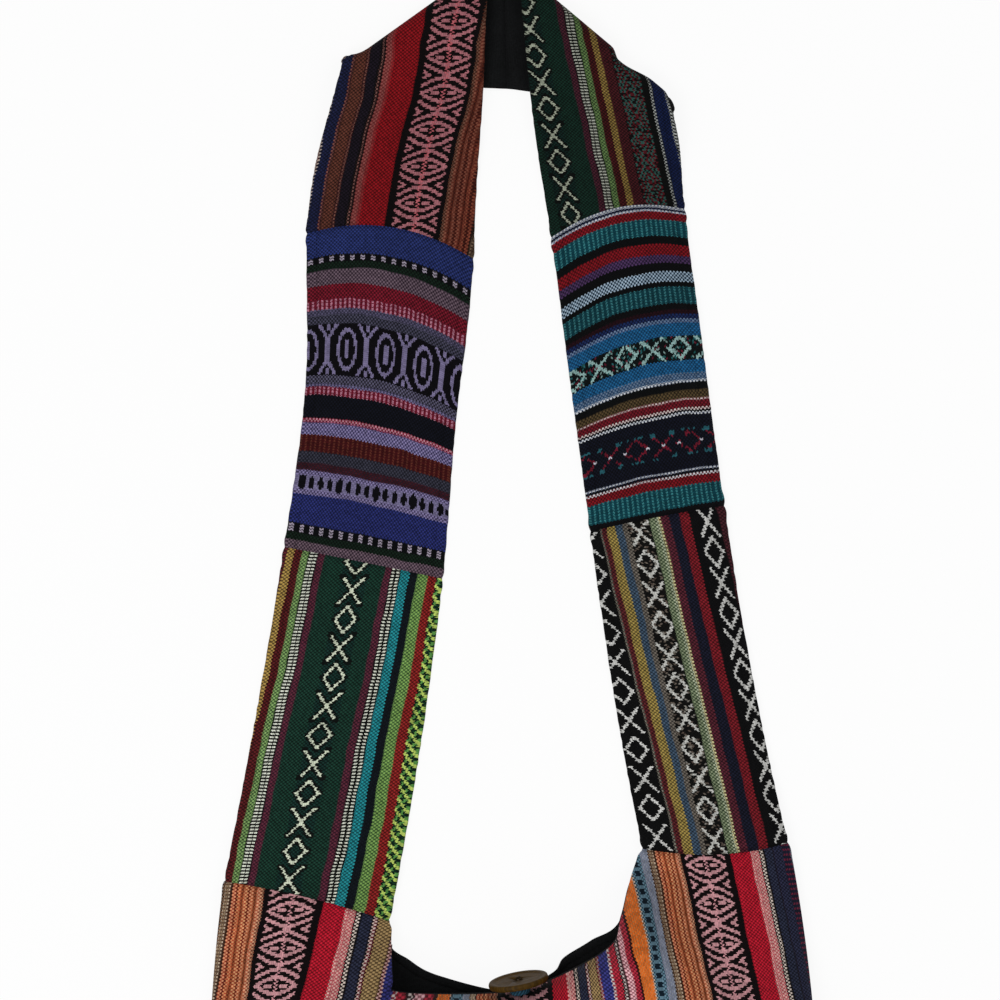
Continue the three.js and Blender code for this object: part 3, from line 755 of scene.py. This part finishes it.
def woven(name, stripes, start, motifs, period=None, shade=1.0, stitched=True):
    """Handwoven cotton: stripes, motifs on them, yarns that show as pips in painted light and shade, and a
    row of stitches.
    """
    net = Net(name, 0.95)
    u, v = net.place("cloth")
    band = u + (v.away(PIP, 0) * 0.8 + net.clouds(u, v, 0.03) * 3 - 2.2)
    if period:
        moved = (band > SELVAGE_LOW) & (band < SELVAGE_HIGH)
        repeated = ((band - start) / period).part() * period + start
        band = repeated * (1 - moved) + (band - SELVAGE_MOVE) * moved
    widths, lies, firsts, seconds = stripe_table(stripes)
    edges = (start + np.concatenate([[0], np.cumsum(widths)])).tolist()

    def bands(values):
        return net.steps(band, edges[-1], list(zip(edges, values)))

    first, second = bands([srgb(c) for c in firsts]), bands([srgb(c) for c in seconds])
    lie = bands([(kind, pitch / LONGEST_PITCH, share, 1) for kind, pitch, share in map(LIES.get, lies)])
    kind, pitch, share = net.split(lie.socket)
    odd = (u / (YARN * 2)).part() > 0.5
    turn = abs((v / (pitch * LONGEST_PITCH) + odd * 0.5 * (kind > 0.25)).part() * 2 - 1)
    between = abs((u / YARN).part() * 2 - 1)
    dotted = (abs(kind - 0.2) < 0.1) * ((band / 2.9).part() < 0.35)
    colour = net.mix((turn < share) & (1 - dotted), first, second)
    deep = kind > 0.75
    x, y = band.cell(YARN), v.cell(PIP / 2)
    for motif, middle, repeat, phase, *settings in motifs:
        for mask, ink in motif(net, x, y, abs(x - middle), y.away(repeat, phase), repeat, *settings):
            colour = net.mix(mask, colour, srgb(ink))
            deep = deep & (1 - mask)
    grain = net.speckle(u.cell(YARN), v.cell(PIP))
    worn = net.clouds(u, v, 0.012, 3.0) * 0.3 + 0.85
    # Painted light and shade of the yarns: on deep lies each yarn turns lighter and darker along its length,
    # and every yarn darkens towards its sides. The same pips raise the bump.
    pips = (1.2 - between * 0.4) * ((turn - 0.5) * deep * 0.85 + 1)
    light = (pips + (grain - 0.5) * 0.45) * worn * shade
    if stitched:
        edge, run = net.place("edge")
        light = light * (1 - ((abs(edge - STITCH_INSET) < 0.32) & ((run / 3.1).part() < 0.7)) * 0.4)
    net.bump(pips, 0.6, 0.0003)
    return net.finish(net.scale(colour, light))


def cotton(name, colour, roughness=0.95):
    """Plain black cotton with a fine weave in painted light and shade, and some lint."""
    net = Net(name, roughness)
    u, v = net.place("cloth")
    grain = net.speckle(u.cell(0.8), v.cell(0.8))
    weave = abs((u / 1.2).part() * 2 - 1) * abs((v / 1.2).part() * 2 - 1)
    lint = net.clouds(u, v, 0.03, 4.0)
    # The weave is painted light and shade of the yarns, and it also gives the bump.
    net.bump(weave + grain * 0.4, 0.4, 0.0002)
    return net.finish(net.scale(srgb(colour)[:3], grain * 0.5 + weave * 0.5 + lint * 0.8 + 0.2))


def button_shell():
    """Dark horn with pale streaks and a polish."""
    net = Net("button_horn", 0.5, 0.08)
    x, y, z = net.split(net.new("TexCoord").outputs["Object"])
    streaks = net.clouds((x * 300 + y * 90), (z * 1500 + x * 120), 1.0, 5.0)
    colour = net.mix(streaks ** 1.6, srgb("1c1204"), srgb("6a4c14"))
    net.bump(streaks, 0.15, 0.0002)
    return net.finish(colour)


def cord_cloth(name, first, second, pitch):
    """A cord of twisted yarn or of folded cloth."""
    net = Net(name, 0.9)
    u, v = net.place("cloth")
    turn = ((v + u * 0.6) / pitch).part()
    grain = net.speckle(u.cell(0.5), v.cell(0.5))
    net.bump(abs(turn * 2 - 1), 0.6, 0.0004)
    return net.finish(net.scale(net.mix(turn < 0.5, srgb(first), srgb(second)), grain * 0.5 + 0.75))


EYES = (eyes, 0, 37, 22.7, 23, "cc959a", "d89aa0")
# The next eyes are the ones above in darker colours: painted shade for the upper left patch.
SHADED_EYES = (eyes, 0, 36.4, 20.6, 23, "b8747c", "c86870")
CHAIN = (chain, 0, 58, 39.4, 10.5, 13, 1.3, "d4dcc4", "070d0a")
DIAMONDS = (nested, -96.5, 48, 10, 12, ("3c6c64", "6a1c26"))
LATTICE = (lattice, 0, 9, 0, 83, ("5a9448", "bcd468"))
OVALS = (ovals, 130.3, 40.3, 2, "948ab4")
ROW_OF_HOLES = (holes, 266.8, 9.7, 8.7, 8.7, "0c0a12")
TEAL_CHAIN = (speckled_chain, 150.9, 54, 4.8, 11, 10.5, 2, 12,
              ("a4ccc8", "1c5c5c", "6a1c30", "2c6c70", "88a8a4"))
KNOTS = (knots, 245, 54, 30, ("7c1c30", "2a6470", "e0dce8"))
LEFT_CHAIN = (chain, -55.5, 58.5, 47.7, 11, 12.5, 1.5, "dcdcd8")
MIDDLE_CHAIN = (speckled_chain, 0, 61.6, 9.1, 10, 13, 1.7, 11, ("d0d0ca", "5c5048", "8c8880", "6c6258"))
RIGHT_CHAIN = (chain, 68, 61.4, 60.8, 8.5, 15, 1.4, "d4d4d0")
MATERIALS = {
    "red": woven("red_stripe", RED_STRIPES, -107, [EYES], 240, 0.8, False),
    # The two upper materials are darker copies of the red and green cloths: painted shade on the upper
    # patches.
    "shaded_red": woven("red_stripe_painted_shade", SHADED_RED_STRIPES, -107, [SHADED_EYES], 240, 0.63),
    "green": woven("green_chain", GREEN_STRIPES, -145, [CHAIN, LATTICE], shade=0.81),
    "shaded_green": woven("green_chain_painted_shade", GREEN_STRIPES, -145, [CHAIN, DIAMONDS], shade=0.42),
    "purple": woven("purple_bands", PURPLE_STRIPES, 0, [OVALS, ROW_OF_HOLES], shade=0.51),
    "teal": woven("teal_bands", TEAL_STRIPES, 0, [TEAL_CHAIN, KNOTS], shade=0.6),
    "black": woven("black_chain", BLACK_STRIPES, -95, [LEFT_CHAIN, MIDDLE_CHAIN, RIGHT_CHAIN], shade=0.7),
    "lining": cotton("black_cotton", "101112"),
    "button": button_shell(),
    "thread": cord_cloth("dark_thread", "3a2c18", "1c140a", 0.9),
    "loop": cord_cloth("blue_loop", "2c5468", "16303e", 1.6),
}

# Strap. PATCH_RUN is about a patch's length. PART_ROWS counts the rows of the patches, the fold and the
# part under it.
TURN_RADIUS = 1.0
TURN_STEPS = 4
PATCH_RUN = 190
PART_ROWS = (110, 110, 80, 14, 24)

# How the stripes lie on the lengthwise patches: y and x of the middle of their main motif in the photograph,
# and how the distance from it counts
LINES = {
    "left_upper": ((42.8, 450), (60, 448.6), (96, 442.3), (129.8, 431.8), (180.4, 420.5), (233.7, 412.8)),
    "left_lower": ((567, 356), (619.4, 345.2), (677.6, 333.6), (733.3, 319.7), (878.4, 289.2)),
    "right_upper": ((55.7, 535.7), (107, 548), (159.8, 559), (214, 570.9)),
    "right_lower": ((540, 643.2), (563.5, 648.7), (620, 661.3), (686.9, 677.5), (735, 689.5)),
}
SCALES = {"left_upper": -1.0, "left_lower": 1.0, "right_upper": -1.11, "right_lower": 1.0}
BAND_PIXELS = {"left": (338, 163), "right": (314.5, 137)}


def line_at(points, y):
    """X of a line through measured points, carried on straight beyond them."""
    ys, xs = np.array(points).T
    slope = (xs[-1] - xs[0]) / (ys[-1] - ys[0])
    beyond = np.minimum(y - ys[0], 0) + np.maximum(y - ys[-1], 0)
    return np.interp(y, ys, xs) + slope * beyond


def open_plan(leg, s, q):
    """Plan of a point of the strap, as if its fold were opened out."""
    outward = FOLDS[leg["side"]][3]
    under = (strap_point(leg, np.maximum(s, 4), q) - strap_point(leg, 4, q))[..., :2]
    under = under - 2 * (under @ outward)[..., None] * outward
    beyond = outward * (np.pi * FOLD_RADIUS * np.clip(s - 3, 0, 1))[..., None] + under * (s > 4)[..., None]
    return strap_point(leg, np.minimum(s, 3), q)[..., :2] + beyond


def strap_cloth(side, name, leg, s, q):
    """Cloth coordinates of a patch, in pixels of the photograph."""
    if name == "middle":
        total, width = BAND_PIXELS[side]
        return np.stack([(2 - s) * total, (q if side == "left" else 1 - q) * width], -1)
    key = f"{side}_{name}"
    plan = open_plan(leg, s, q)
    x, y = 500 + plan[..., 0] / PIXEL, 500 - plan[..., 1] / PIXEL
    u, v = (x - line_at(LINES[key], y)) * SCALES[key], y
    if key == "left_lower":
        # Its right half narrows towards the body
        u = u * (1 - 0.11 * smooth((y - 560) / 320) * smooth(u / 20))
    if key == "right_upper":
        # The chain's repeat of 58 pixels takes 52.8 there
        v = 39.4 + (y - 55.7) * 58 / 52.8
    return np.stack([u, v], -1)


def strap_ride(leg, s, q):
    """Soft unevenness that the patches and their lining share. It fades out before the fold."""
    run = s * PATCH_RUN
    hold = np.sin(np.pi * np.clip(q, 0, 1)) * (1 - smooth((s - 2.3) / 0.6))
    waves = 1.6 * noise(q * 2.2 + 7, run / 60 + 3, 11 + leg["side"])
    waves += 1.2 * noise(q * 5, run / 26, 21 + leg["side"]) + 0.5 * noise(q * 11, run / 10, 41 + leg["side"])
    return np.maximum(waves * hold, -0.2 - 0.9 * smooth(arch_at(leg, np.minimum(s, 3), q) / 4))


def strap_relief(leg, s, q):
    """Relief of the outer side alone: the turned hems, the stitch grooves and the seams across."""
    span = STRAP_WIDTH * along(leg["spans"], np.minimum(s, 3) / 3)
    edge = np.minimum(q, 1 - q) * span
    relief = 0.4 * np.exp(-(((edge - 3) / 2.2) ** 2)) - 0.55 * np.exp(-(((edge - STITCH_INSET) / 0.9) ** 2))
    run = s * PATCH_RUN
    relief += 0.3 * noise(edge / 3 + 9, run / 3.4, 51 + leg["side"]) * np.exp(-((edge / 9) ** 2))
    pucker = noise(q * 22, s * 12, 31 + leg["side"])
    for seam in (0, 1, 2):
        away = np.abs(s - seam) * np.where(s < seam, leg["lengths"][max(seam - 1, 0)], leg["lengths"][seam])
        groove = 0.95 * smooth(edge / 10) + 0.25
        relief += 0.5 * np.exp(-(((away - 4.5) / 3) ** 2)) - groove * np.exp(-((away / 1.2) ** 2))
        relief += 0.5 * pucker * np.exp(-away / 9) * (1 - np.exp(-away))
    return np.clip(relief, -0.95, 1.2)


def close_ends(count):
    """Shares from 0 to 1 that lie close together near both ends."""
    w = np.linspace(0, 1, count)
    return w - 0.85 * np.sin(2 * np.pi * w) / (2 * np.pi)


def strap_grid(leg, low, high, inset, fineness=1.0):
    """Rows from one place on the strap to another, and columns inset from its edges."""
    rows = []
    for part in range(int(low), int(high)):
        count = int(PART_ROWS[part] * fineness)
        rows.append(part + (close_ends(count + 1) if part < 3 else np.linspace(0, 1, count + 1))[:-1])
    rows = np.concatenate([*rows, [high]])
    columns = np.linspace(inset / STRAP_WIDTH, 1 - inset / STRAP_WIDTH, int(72 * fineness))
    return np.meshgrid(rows, columns, indexing="ij")


def strap_length(leg, s):
    """Distance along the cloth from the foot."""
    lengths = (*leg["lengths"], np.pi * FOLD_RADIUS, UNDER_LENGTH)
    return np.interp(s, np.arange(6), np.concatenate([[0], np.cumsum(lengths)]))


def turn_edges(points, outward, cloth, relief):
    """Turns the two long edges of a patch down round a small radius, as its hems do."""
    sides = []
    for edge, inner in ((0, 1), (-1, -2)):
        normal = outward[:, edge]
        out = points[:, edge] - points[:, inner]
        out = unit(out - normal * (out * normal).sum(-1, keepdims=True))
        grow = unit(cloth[:, edge] - cloth[:, inner])
        turned = []
        for angle in np.linspace(0, math.pi / 2, TURN_STEPS + 1)[1:]:
            place = points[:, edge] + (out * np.sin(angle) - normal * (1 - np.cos(angle))) * TURN_RADIUS
            turned.append((place, normal * np.cos(angle) + out * np.sin(angle),
                           cloth[:, edge] + grow * angle * 1.6, relief[:, edge]))
        sides.append(turned)
    return tuple(
        np.stack([*(e[k] for e in sides[0][::-1]), *np.moveaxis(array, 1, 0), *(e[k] for e in sides[1])], 1)
        for k, array in enumerate((points, outward, cloth, relief))
    )


def strap_surface(leg, s, q):
    """Points of the strap's inner side with their unevenness, and the way out of it."""
    outward = normals(lambda a, b: strap_point(leg, a, b), s, q, -leg["side"])
    return strap_point(leg, s, q) + outward * strap_ride(leg, s, q)[..., None], outward


def strap_patch(side, name, leg, low, high, material):
    s, q = strap_grid(leg, low, high, TURN_RADIUS + CLOTH)
    q = 0.5 + (q - 0.5) * (1 - 0.055 * smooth((s - 3.5) / 0.4))
    points, outward = strap_surface(leg, s, q)
    span = STRAP_WIDTH * along(leg["spans"], np.minimum(s, 3) / 3)
    edge = np.stack([np.minimum(q, 1 - q) * span, strap_length(leg, s)], -1)
    cloth = np.concatenate([strap_cloth(side, name, leg, s, q), edge], -1)
    relief = strap_relief(leg, s, q)
    points, outward, cloth, relief = turn_edges(points, outward, cloth, relief)
    piece = sheet(f"patch_{side}_{name}", points, outward, 0, (CLOTH + relief)[..., None], cloth,
                  material, f"strap_patch_{side}_{name}")


def strap_lining(side, leg):
    grids = [strap_grid(leg, low, high, 1.6, 0.5) for low, high in ((0, 1), (1, 2), (2, 5))]
    s, q = (np.concatenate([grids[0][k][:-1], grids[1][k][:-1], grids[2][k]]) for k in (0, 1))
    points, outward = strap_surface(leg, s, q)
    cloth = np.stack([q * STRAP_WIDTH, strap_length(leg, s)], -1)
    piece = sheet(f"lining_strap_{side}", points, outward, -GAP - LINING, -GAP, cloth,
                  MATERIALS["lining"], f"strap_lining_{side}")


# The upper patches take the cloths in painted shade.
for side, leg, patches in (
    ("left", LEFT, (("lower", 0, 1, "green", "green_chain_cloth"),
                    ("middle", 1, 2, "purple", "purple_band_cloth"),
                    ("upper", 2, 5, "shaded_red", "red_stripe_cloth"))),
    ("right", RIGHT, (("lower", 0, 1, "black", "black_chain_cloth"),
                      ("middle", 1, 2, "teal", "teal_band_cloth"),
                      ("upper", 2, 5, "shaded_green", "green_chain_cloth"))),
):
    for name, low, high, key, slot in patches:
        strap_patch(side, name, leg, low, high, MATERIALS[key])
    strap_lining(side, leg)


# Body
BODY_ROWS = 300
BODY_COLUMNS = 110
SEAM_SHARE = 0.035
SEAM_CLOSE = STACK / 2 - CLOTH / 4
EAR_ROWS = (0, 0.0006, 0.0012, 0.002, 0.003, 0.0045, 0.0065)

# The stripes of the body where they cross STRIPES_Y in the photograph: x, cloth coordinate and lean. Below it
# the lean dies away over LEAN_REACH.
STRIPES_Y = 995
LEAN_REACH = 90
STRIPES_X = (175.8, 233.8, 275, 301, 348, 391, 438, 463, 501, 525, 549, 568, 588, 600, 610.5, 639, 649, 660.9,
             734, 758.5, 840)
STRIPES_U = (-100, -42, 0, 28, 71, 104, 133, 164, 217, 240, 263, 291, 316, 332, 341, 367, 380, 397,
             480, 509, 600)
STRIPES_LEAN = (-0.12, -0.145, -0.182, -0.227, -0.233, -0.24, -0.16, -0.08, -0.03, 0, 0.03, 0.08, 0.12,
                0.14, 0.15, 0.22, 0.19, 0.19, 0.215, 0.205, 0.2)


def body_grid(rows, columns, share_end=1.0):
    ends = np.array(EAR_ROWS)
    t = np.concatenate([ends, np.linspace(0.009, 0.991, rows), 1 - ends[::-1]])
    w = np.linspace(0, 1, columns)
    share = ((1 - np.cos(np.pi * w)) / 2) ** 1.25 * share_end
    return np.meshgrid(t, share, indexing="ij")


def seam_distance(points):
    """Distance of the points of a grid from its first or its last row, along its columns."""
    run = distance_run(points)
    return np.minimum(run, run[-1] - run)


def body_relief(points):
    """Relief of the outer side of the front: seams with the strap, with their puckers."""
    away = seam_distance(points)
    pucker = noise(points[..., 0] / 4, away / 14, 61)
    relief = 0.5 * np.exp(-(((away - 4.5) / 3) ** 2)) - 0.95 * np.exp(-((away / 1.2) ** 2))
    return np.clip(relief + 0.6 * pucker * np.exp(-away / 10) * (1 - np.exp(-away)), -0.95, 1.2)


def body_folds(t, share, points):
    """Soft folds of the front, which its lining shares. They die away at the seams and the mouth."""
    x, y = points[..., 0], points[..., 1]
    ears = smooth(t / 0.12) * smooth((1 - t) / 0.12)
    hold = smooth(share / 0.2) * smooth((1 - share) / 0.22) * ears
    drift = 14 * noise(x / 90, y / 90, 5)
    folds = 4.2 * noise((x + drift) / 46, y / 120 + 3, 6) + 2.0 * noise((x + drift) / 21, y / 60, 7)
    folds += 0.9 * noise(x / 11, y / 24, 8)
    return folds * hold


def body_cloth(points, outward):
    """Cloth coordinates of a panel. Its stripes lean under the ears, and it gains length over its rim."""
    x, y = 500 + points[..., 0] / PIXEL, 500 - points[..., 1] / PIXEL
    below = y - STRIPES_Y
    down = np.where(below < 0, below, LEAN_REACH * (1 - np.exp(-np.maximum(below, 0) / LEAN_REACH)))
    level = x
    for _ in range(12):
        level = x - np.interp(level, STRIPES_X, STRIPES_LEAN) * down
    u = np.interp(level, STRIPES_X, STRIPES_U)
    steep = (points[..., 2].max() - points[..., 2]) / PIXEL * smooth((y - 1000) / 100)
    u = u + steep * outward[..., 0] * np.abs(outward[..., 0])
    return np.stack([u, y + 0.0173 * u - steep * outward[..., 1] * np.abs(outward[..., 1])], -1)


def body_sheet(name, side, outer, node):
    """A panel (side -1 for the front and 1 for the back), or its lining. At the rim both come together."""
    surface = front_point if side < 0 else back_point
    t, share = body_grid(BODY_ROWS, BODY_COLUMNS) if outer else body_grid(140, 56, 0.985)
    outward = normals(surface, t, share, side)
    points = surface(t, share)
    cloth = body_cloth(points, outward) if outer else points[..., :2]
    relief = body_relief(points) if outer and side < 0 else np.zeros(t.shape)
    if side < 0:
        points = points + outward * body_folds(t, share, points)[..., None]
    turned = smooth((share - 1 + SEAM_SHARE) / SEAM_SHARE) * smooth(t / 0.06) * smooth((1 - t) / 0.06)
    points[..., 2] += turned * SEAM_CLOSE * side
    if outer:
        return sheet(name, points, outward, 0, (CLOTH + relief)[..., None], cloth, MATERIALS["red"],
                     node)
    return sheet(name, points, outward, -GAP - LINING, -GAP, cloth, MATERIALS["lining"], node)


front = body_sheet("body_front", -1, True, "body_front_panel")
back = body_sheet("body_back", 1, True, "body_back_panel")
front_lining = body_sheet("lining_body_front", -1, False, "lining_front")
back_lining = body_sheet("lining_body_back", 1, False, "lining_back")


def binding(name, surface, flip, node):
    t = np.linspace(BINDING_END, 1 - BINDING_END, 160)
    edge = surface(t, 0.0)
    out = unit(edge - surface(t, NEAR_EDGE))
    normal = normals(surface, t, np.full(t.shape, NEAR_EDGE), flip)
    middle = (CLOTH - LINING - GAP) / 2
    least = np.where(t < 0.5, 0.6, 0.15)
    width = BINDING_WIDTH * mix(least, 1, smooth((np.minimum(t, 1 - t) - BINDING_END) / 0.07))[:, None]
    centre = edge + out * (width / 2 - 0.3) + normal * middle
    wide, tall = out * width / 2, normal * (CLOTH + GAP + LINING) / 2
    lift = np.maximum(np.hypot(wide[:, 2], tall[:, 2]) - centre[:, 2], 0)
    centre[:, :2] += unit(wide[:, :2]) * lift[:, None]
    centre[:, 2] += lift
    return tube(name, centre, wide, tall, 20, MATERIALS["lining"], node)


binding_front = binding("binding_front", front_point, -1, "mouth_binding_front")
binding_back = binding("binding_back", back_point, 1, "mouth_binding_back")

# Button, sewn to the wall of the front panel. In its own axes Y points away from the cloth.
WALL = front_point(np.float64(BUTTON_STATION), np.float64(BUTTON_DROP))
WALL_NORMAL = normals(front_point, np.float64(BUTTON_STATION), np.float64(BUTTON_DROP), -1)
SIDEWAYS = -unit(np.cross([0, 0, 1], WALL_NORMAL))
UPWARD = unit(np.cross(SIDEWAYS, WALL_NORMAL))
BUTTON_PLACE = WALL + WALL_NORMAL * (CLOTH + SHANK_LENGTH)
BUTTON_AXES = np.array([SIDEWAYS, WALL_NORMAL, UPWARD])
BUTTON_BEVEL = 0.9
BUTTON_SIDES = 96
HOLES = [(x * HOLE_SPACING / 2, z * HOLE_SPACING / 2) for x, z in ((-1, -1), (1, -1), (1, 1), (-1, 1))]


def from_button(points):
    return BUTTON_PLACE + np.asarray(points, float) @ BUTTON_AXES


def button():
    """A turned disc with a rounded edge, a dish and four holes."""
    half = BUTTON_THICKNESS / 2
    profile = [(BUTTON_RADIUS - BUTTON_BEVEL * (1 - math.cos(a)), half + half * math.sin(a))
               for a in np.linspace(-math.pi / 2, math.pi / 2, 14)]
    profile += [(BUTTON_RADIUS - BUTTON_RIM + 1 - 2.4 * share, BUTTON_THICKNESS - BUTTON_DISH * smooth(share))
                for share in np.linspace(0, 1, 9)]
    r, y = np.array(profile, float).T[..., None]
    angle = 2 * np.pi * np.arange(BUTTON_SIDES) / BUTTON_SIDES
    points = np.stack(np.broadcast_arrays(r * np.cos(angle), y, r * np.sin(angle)), -1).reshape(-1, 3)
    at, _, faces = ring_faces(len(profile), BUTTON_SIDES)
    faces += [at[0], at[-1][::-1]]
    piece = make("button_disc", from_button(points), faces, MATERIALS["button"], ["button"])
    turn = Matrix(BUTTON_AXES.T.tolist()).to_4x4()
    for x, z in HOLES:
        bpy.ops.mesh.primitive_cylinder_add(vertices=28, radius=HOLE_RADIUS / 1000, depth=0.012)
        cutter = bpy.context.object
        centre = (from_button([x, BUTTON_THICKNESS / 2, z]) + ORIGIN) / 1000
        upright = Matrix.Rotation(math.pi / 2, 4, "X")
        cutter.matrix_world = Matrix.Translation(Vector(centre.tolist())) @ turn @ upright
        cut = piece.modifiers.new("hole", "BOOLEAN")
        cut.operation, cut.object, cut.solver = "DIFFERENCE", cutter, "EXACT"
        bpy.context.view_layer.objects.active = piece
        bpy.ops.object.modifier_apply(modifier=cut.name)
        bpy.data.objects.remove(cutter)


def ring_frames(centres):
    """Two half axes, square to a line, that turn as little as they can along it."""
    way = unit(np.gradient(centres, axis=0))
    wide = np.zeros_like(centres)
    start = np.cross(way[0], [0.3, 0.2, 1.0])
    for i, forward in enumerate(way):
        start = start - forward * (start @ forward)
        start = start / np.linalg.norm(start)
        wide[i] = start
    return wide, np.cross(way, wide)


def cord_piece(name, centres, radius, sides, material, node):
    wide, tall = ring_frames(centres)
    return tube(name, centres, wide * radius, tall * radius, sides, material, node)


def thread():
    front_face = BUTTON_THICKNESS - BUTTON_DISH + GAP
    reach = HOLE_SPACING / math.sqrt(2)
    height = np.linspace(GAP - SHANK_LENGTH, -GAP - THREAD_RADIUS / 2, 60)
    wound = SHANK_RADIUS - 0.25 + 0.25 * np.cos(height * 2 * np.pi / 0.9)
    centres = from_button(np.stack([0 * height, height, 0 * height], 1))
    sideways = np.broadcast_to(SIDEWAYS, centres.shape) * wound[:, None]
    upward = np.broadcast_to(UPWARD, centres.shape) * wound[:, None]
    tube("thread_shank", centres, sideways, upward, 20, MATERIALS["thread"], "button_thread")
    for number, turn in enumerate((math.pi / 4, -math.pi / 4)):
        share = np.linspace(-1, 1, 25)
        flat = share * reach * 0.98
        drop = smooth((np.abs(share) - 0.62) / 0.38) * (BUTTON_THICKNESS - BUTTON_DISH)
        points = np.stack([flat * math.cos(turn), front_face + THREAD_RADIUS * (0.6 + number * 0.55) - drop,
                           flat * math.sin(turn)], 1)
        cord_piece(f"thread_cross_{number + 1}", from_button(points), THREAD_RADIUS * 0.62, 10,
                   MATERIALS["thread"], None)


def centripetal(points, per_span=14):
    """Points on a centripetal curve through the given ones."""
    points = np.asarray(points, float)
    padded = np.concatenate([[2 * points[0] - points[1]], points, [2 * points[-1] - points[-2]]])
    found = []
    for i in range(1, len(padded) - 2):
        p0, p1, p2, p3 = padded[i - 1 : i + 3]
        d0, d1, d2 = (max(np.linalg.norm(b - a) ** 0.5, 1e-4) for a, b in ((p0, p1), (p1, p2), (p2, p3)))
        m1 = ((p1 - p0) / d0 - (p2 - p0) / (d0 + d1) + (p2 - p1) / d1) * d1
        m2 = ((p2 - p1) / d1 - (p3 - p1) / (d1 + d2) + (p3 - p2) / d2) * d1
        w = np.arange(per_span)[:, None] / per_span
        found.append((2 * w**3 - 3 * w**2 + 1) * p1 + (w**3 - 2 * w**2 + w) * m1
                     + (-2 * w**3 + 3 * w**2) * p2 + (w**3 - w**2) * m2)
    return np.concatenate([*found, [points[-1]]])


def loop():
    clear = SHANK_RADIUS + GAP + LOOP_RADIUS

    def on_panel(t, share):
        height = LINING + 2 * GAP + LOOP_SLACK + LOOP_RADIUS
        return back_point(np.float64(t), np.float64(share)) + [0, 0, height]

    def at_shank(side, height):
        return WALL + WALL_NORMAL * (CLOTH + GAP + LOOP_RADIUS) + SIDEWAYS * side + UPWARD * height

    over = [at_shank(-clear * math.cos(a), clear * math.sin(a)) for a in np.linspace(0, math.pi, 5)]
    line = centripetal([
        on_panel(LOOP_ENDS[0], 0),
        on_panel(LOOP_ENDS[0] + LOOP_SPREAD, 0),
        at_shank(-clear - LOOP_RADIUS, -LOOP_HANG),
        at_shank(-clear, -LOOP_NECK),
        *over,
        at_shank(clear, -LOOP_NECK),
        at_shank(clear - LOOP_RADIUS / 2, -LOOP_HANG),
        on_panel(LOOP_ENDS[1] + LOOP_SPREAD, NEAR_EDGE),
        on_panel(LOOP_ENDS[1], NEAR_EDGE),
    ])
    piece = cord_piece("loop_cord", line, LOOP_RADIUS, 16, MATERIALS["loop"], "button_loop")


button()
thread()
loop()

# Floor, light and camera
CAMERA_HEIGHT = 4.0
FRAME_WIDTH = 0.6
SUBJECT_HEIGHT = 0.01
SENSOR_WIDTH = 36
FLOOR_DROP = 0.0006
FLOOR_WIDTH = 30


def floor():
    """A pale floor that glows towards the camera, so that it renders white."""
    bpy.ops.mesh.primitive_plane_add(size=FLOOR_WIDTH, location=(0, 0, -FLOOR_DROP))
    ground = bpy.context.object
    ground.name = "floor"
    net = Net("pale_floor", 1)
    net.tree.nodes.remove(net.shader)
    diffuse, glow, both = net.new("BsdfDiffuse"), net.new("Emission"), net.new("MixShader")
    diffuse.inputs["Color"].default_value = (0.9, 0.9, 0.9, 1)
    glow.inputs["Color"].default_value = (1, 1, 1, 1)
    share = Num(net, net.new("LightPath").outputs["Is Camera Ray"]) * 0.9
    for socket, value in zip(both.inputs, (share.socket, diffuse.outputs[0], glow.outputs[0])):
        net.tree.links.new(value, socket)
    net.tree.links.new(both.outputs[0], net.tree.nodes["Material Output"].inputs[0])
    ground.data.materials.append(net.material)
    ground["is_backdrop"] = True


def lamp(name, place, target, size, power):
    data = bpy.data.lights.new(name, "AREA")
    data.size, data.energy = size, power
    light = bpy.data.objects.new(name, data)
    light.location = place
    light.rotation_euler = (Vector(target) - Vector(place)).to_track_quat("-Z", "Y").to_euler()
    light.visible_camera = False
    bpy.context.scene.collection.objects.link(light)


def world():
    made = bpy.data.worlds.new("white_room")
    bpy.context.scene.world = made
    made.use_nodes = True
    tree = made.node_tree
    back = tree.nodes["Background"]
    back.inputs["Color"].default_value = (1, 1, 1, 1)
    path = tree.nodes.new("ShaderNodeLightPath")
    level = tree.nodes.new("ShaderNodeMapRange")
    level.inputs["To Min"].default_value = 0.5
    level.inputs["To Max"].default_value = 1.0
    tree.links.new(path.outputs["Is Camera Ray"], level.inputs["Value"])
    tree.links.new(level.outputs["Result"], back.inputs["Strength"])


def camera():
    data = bpy.data.cameras.new("camera")
    data.lens = SENSOR_WIDTH * (CAMERA_HEIGHT - SUBJECT_HEIGHT) / FRAME_WIDTH
    data.clip_end = 100
    eye = bpy.data.objects.new("camera", data)
    eye.location = (ORIGIN[0] / 1000, ORIGIN[1] / 1000, CAMERA_HEIGHT)
    bpy.context.scene.collection.objects.link(eye)
    bpy.context.scene.camera = eye


floor()
world()
camera()
lamp("key", (-1.0, -0.6, 2.0), (0, 0, 0), 1.2, 22)
lamp("fill", (1.2, 0.4, 1.8), (0, 0, 0), 1.4, 8)
bpy.context.scene.view_settings.view_transform = "Standard"

low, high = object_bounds()
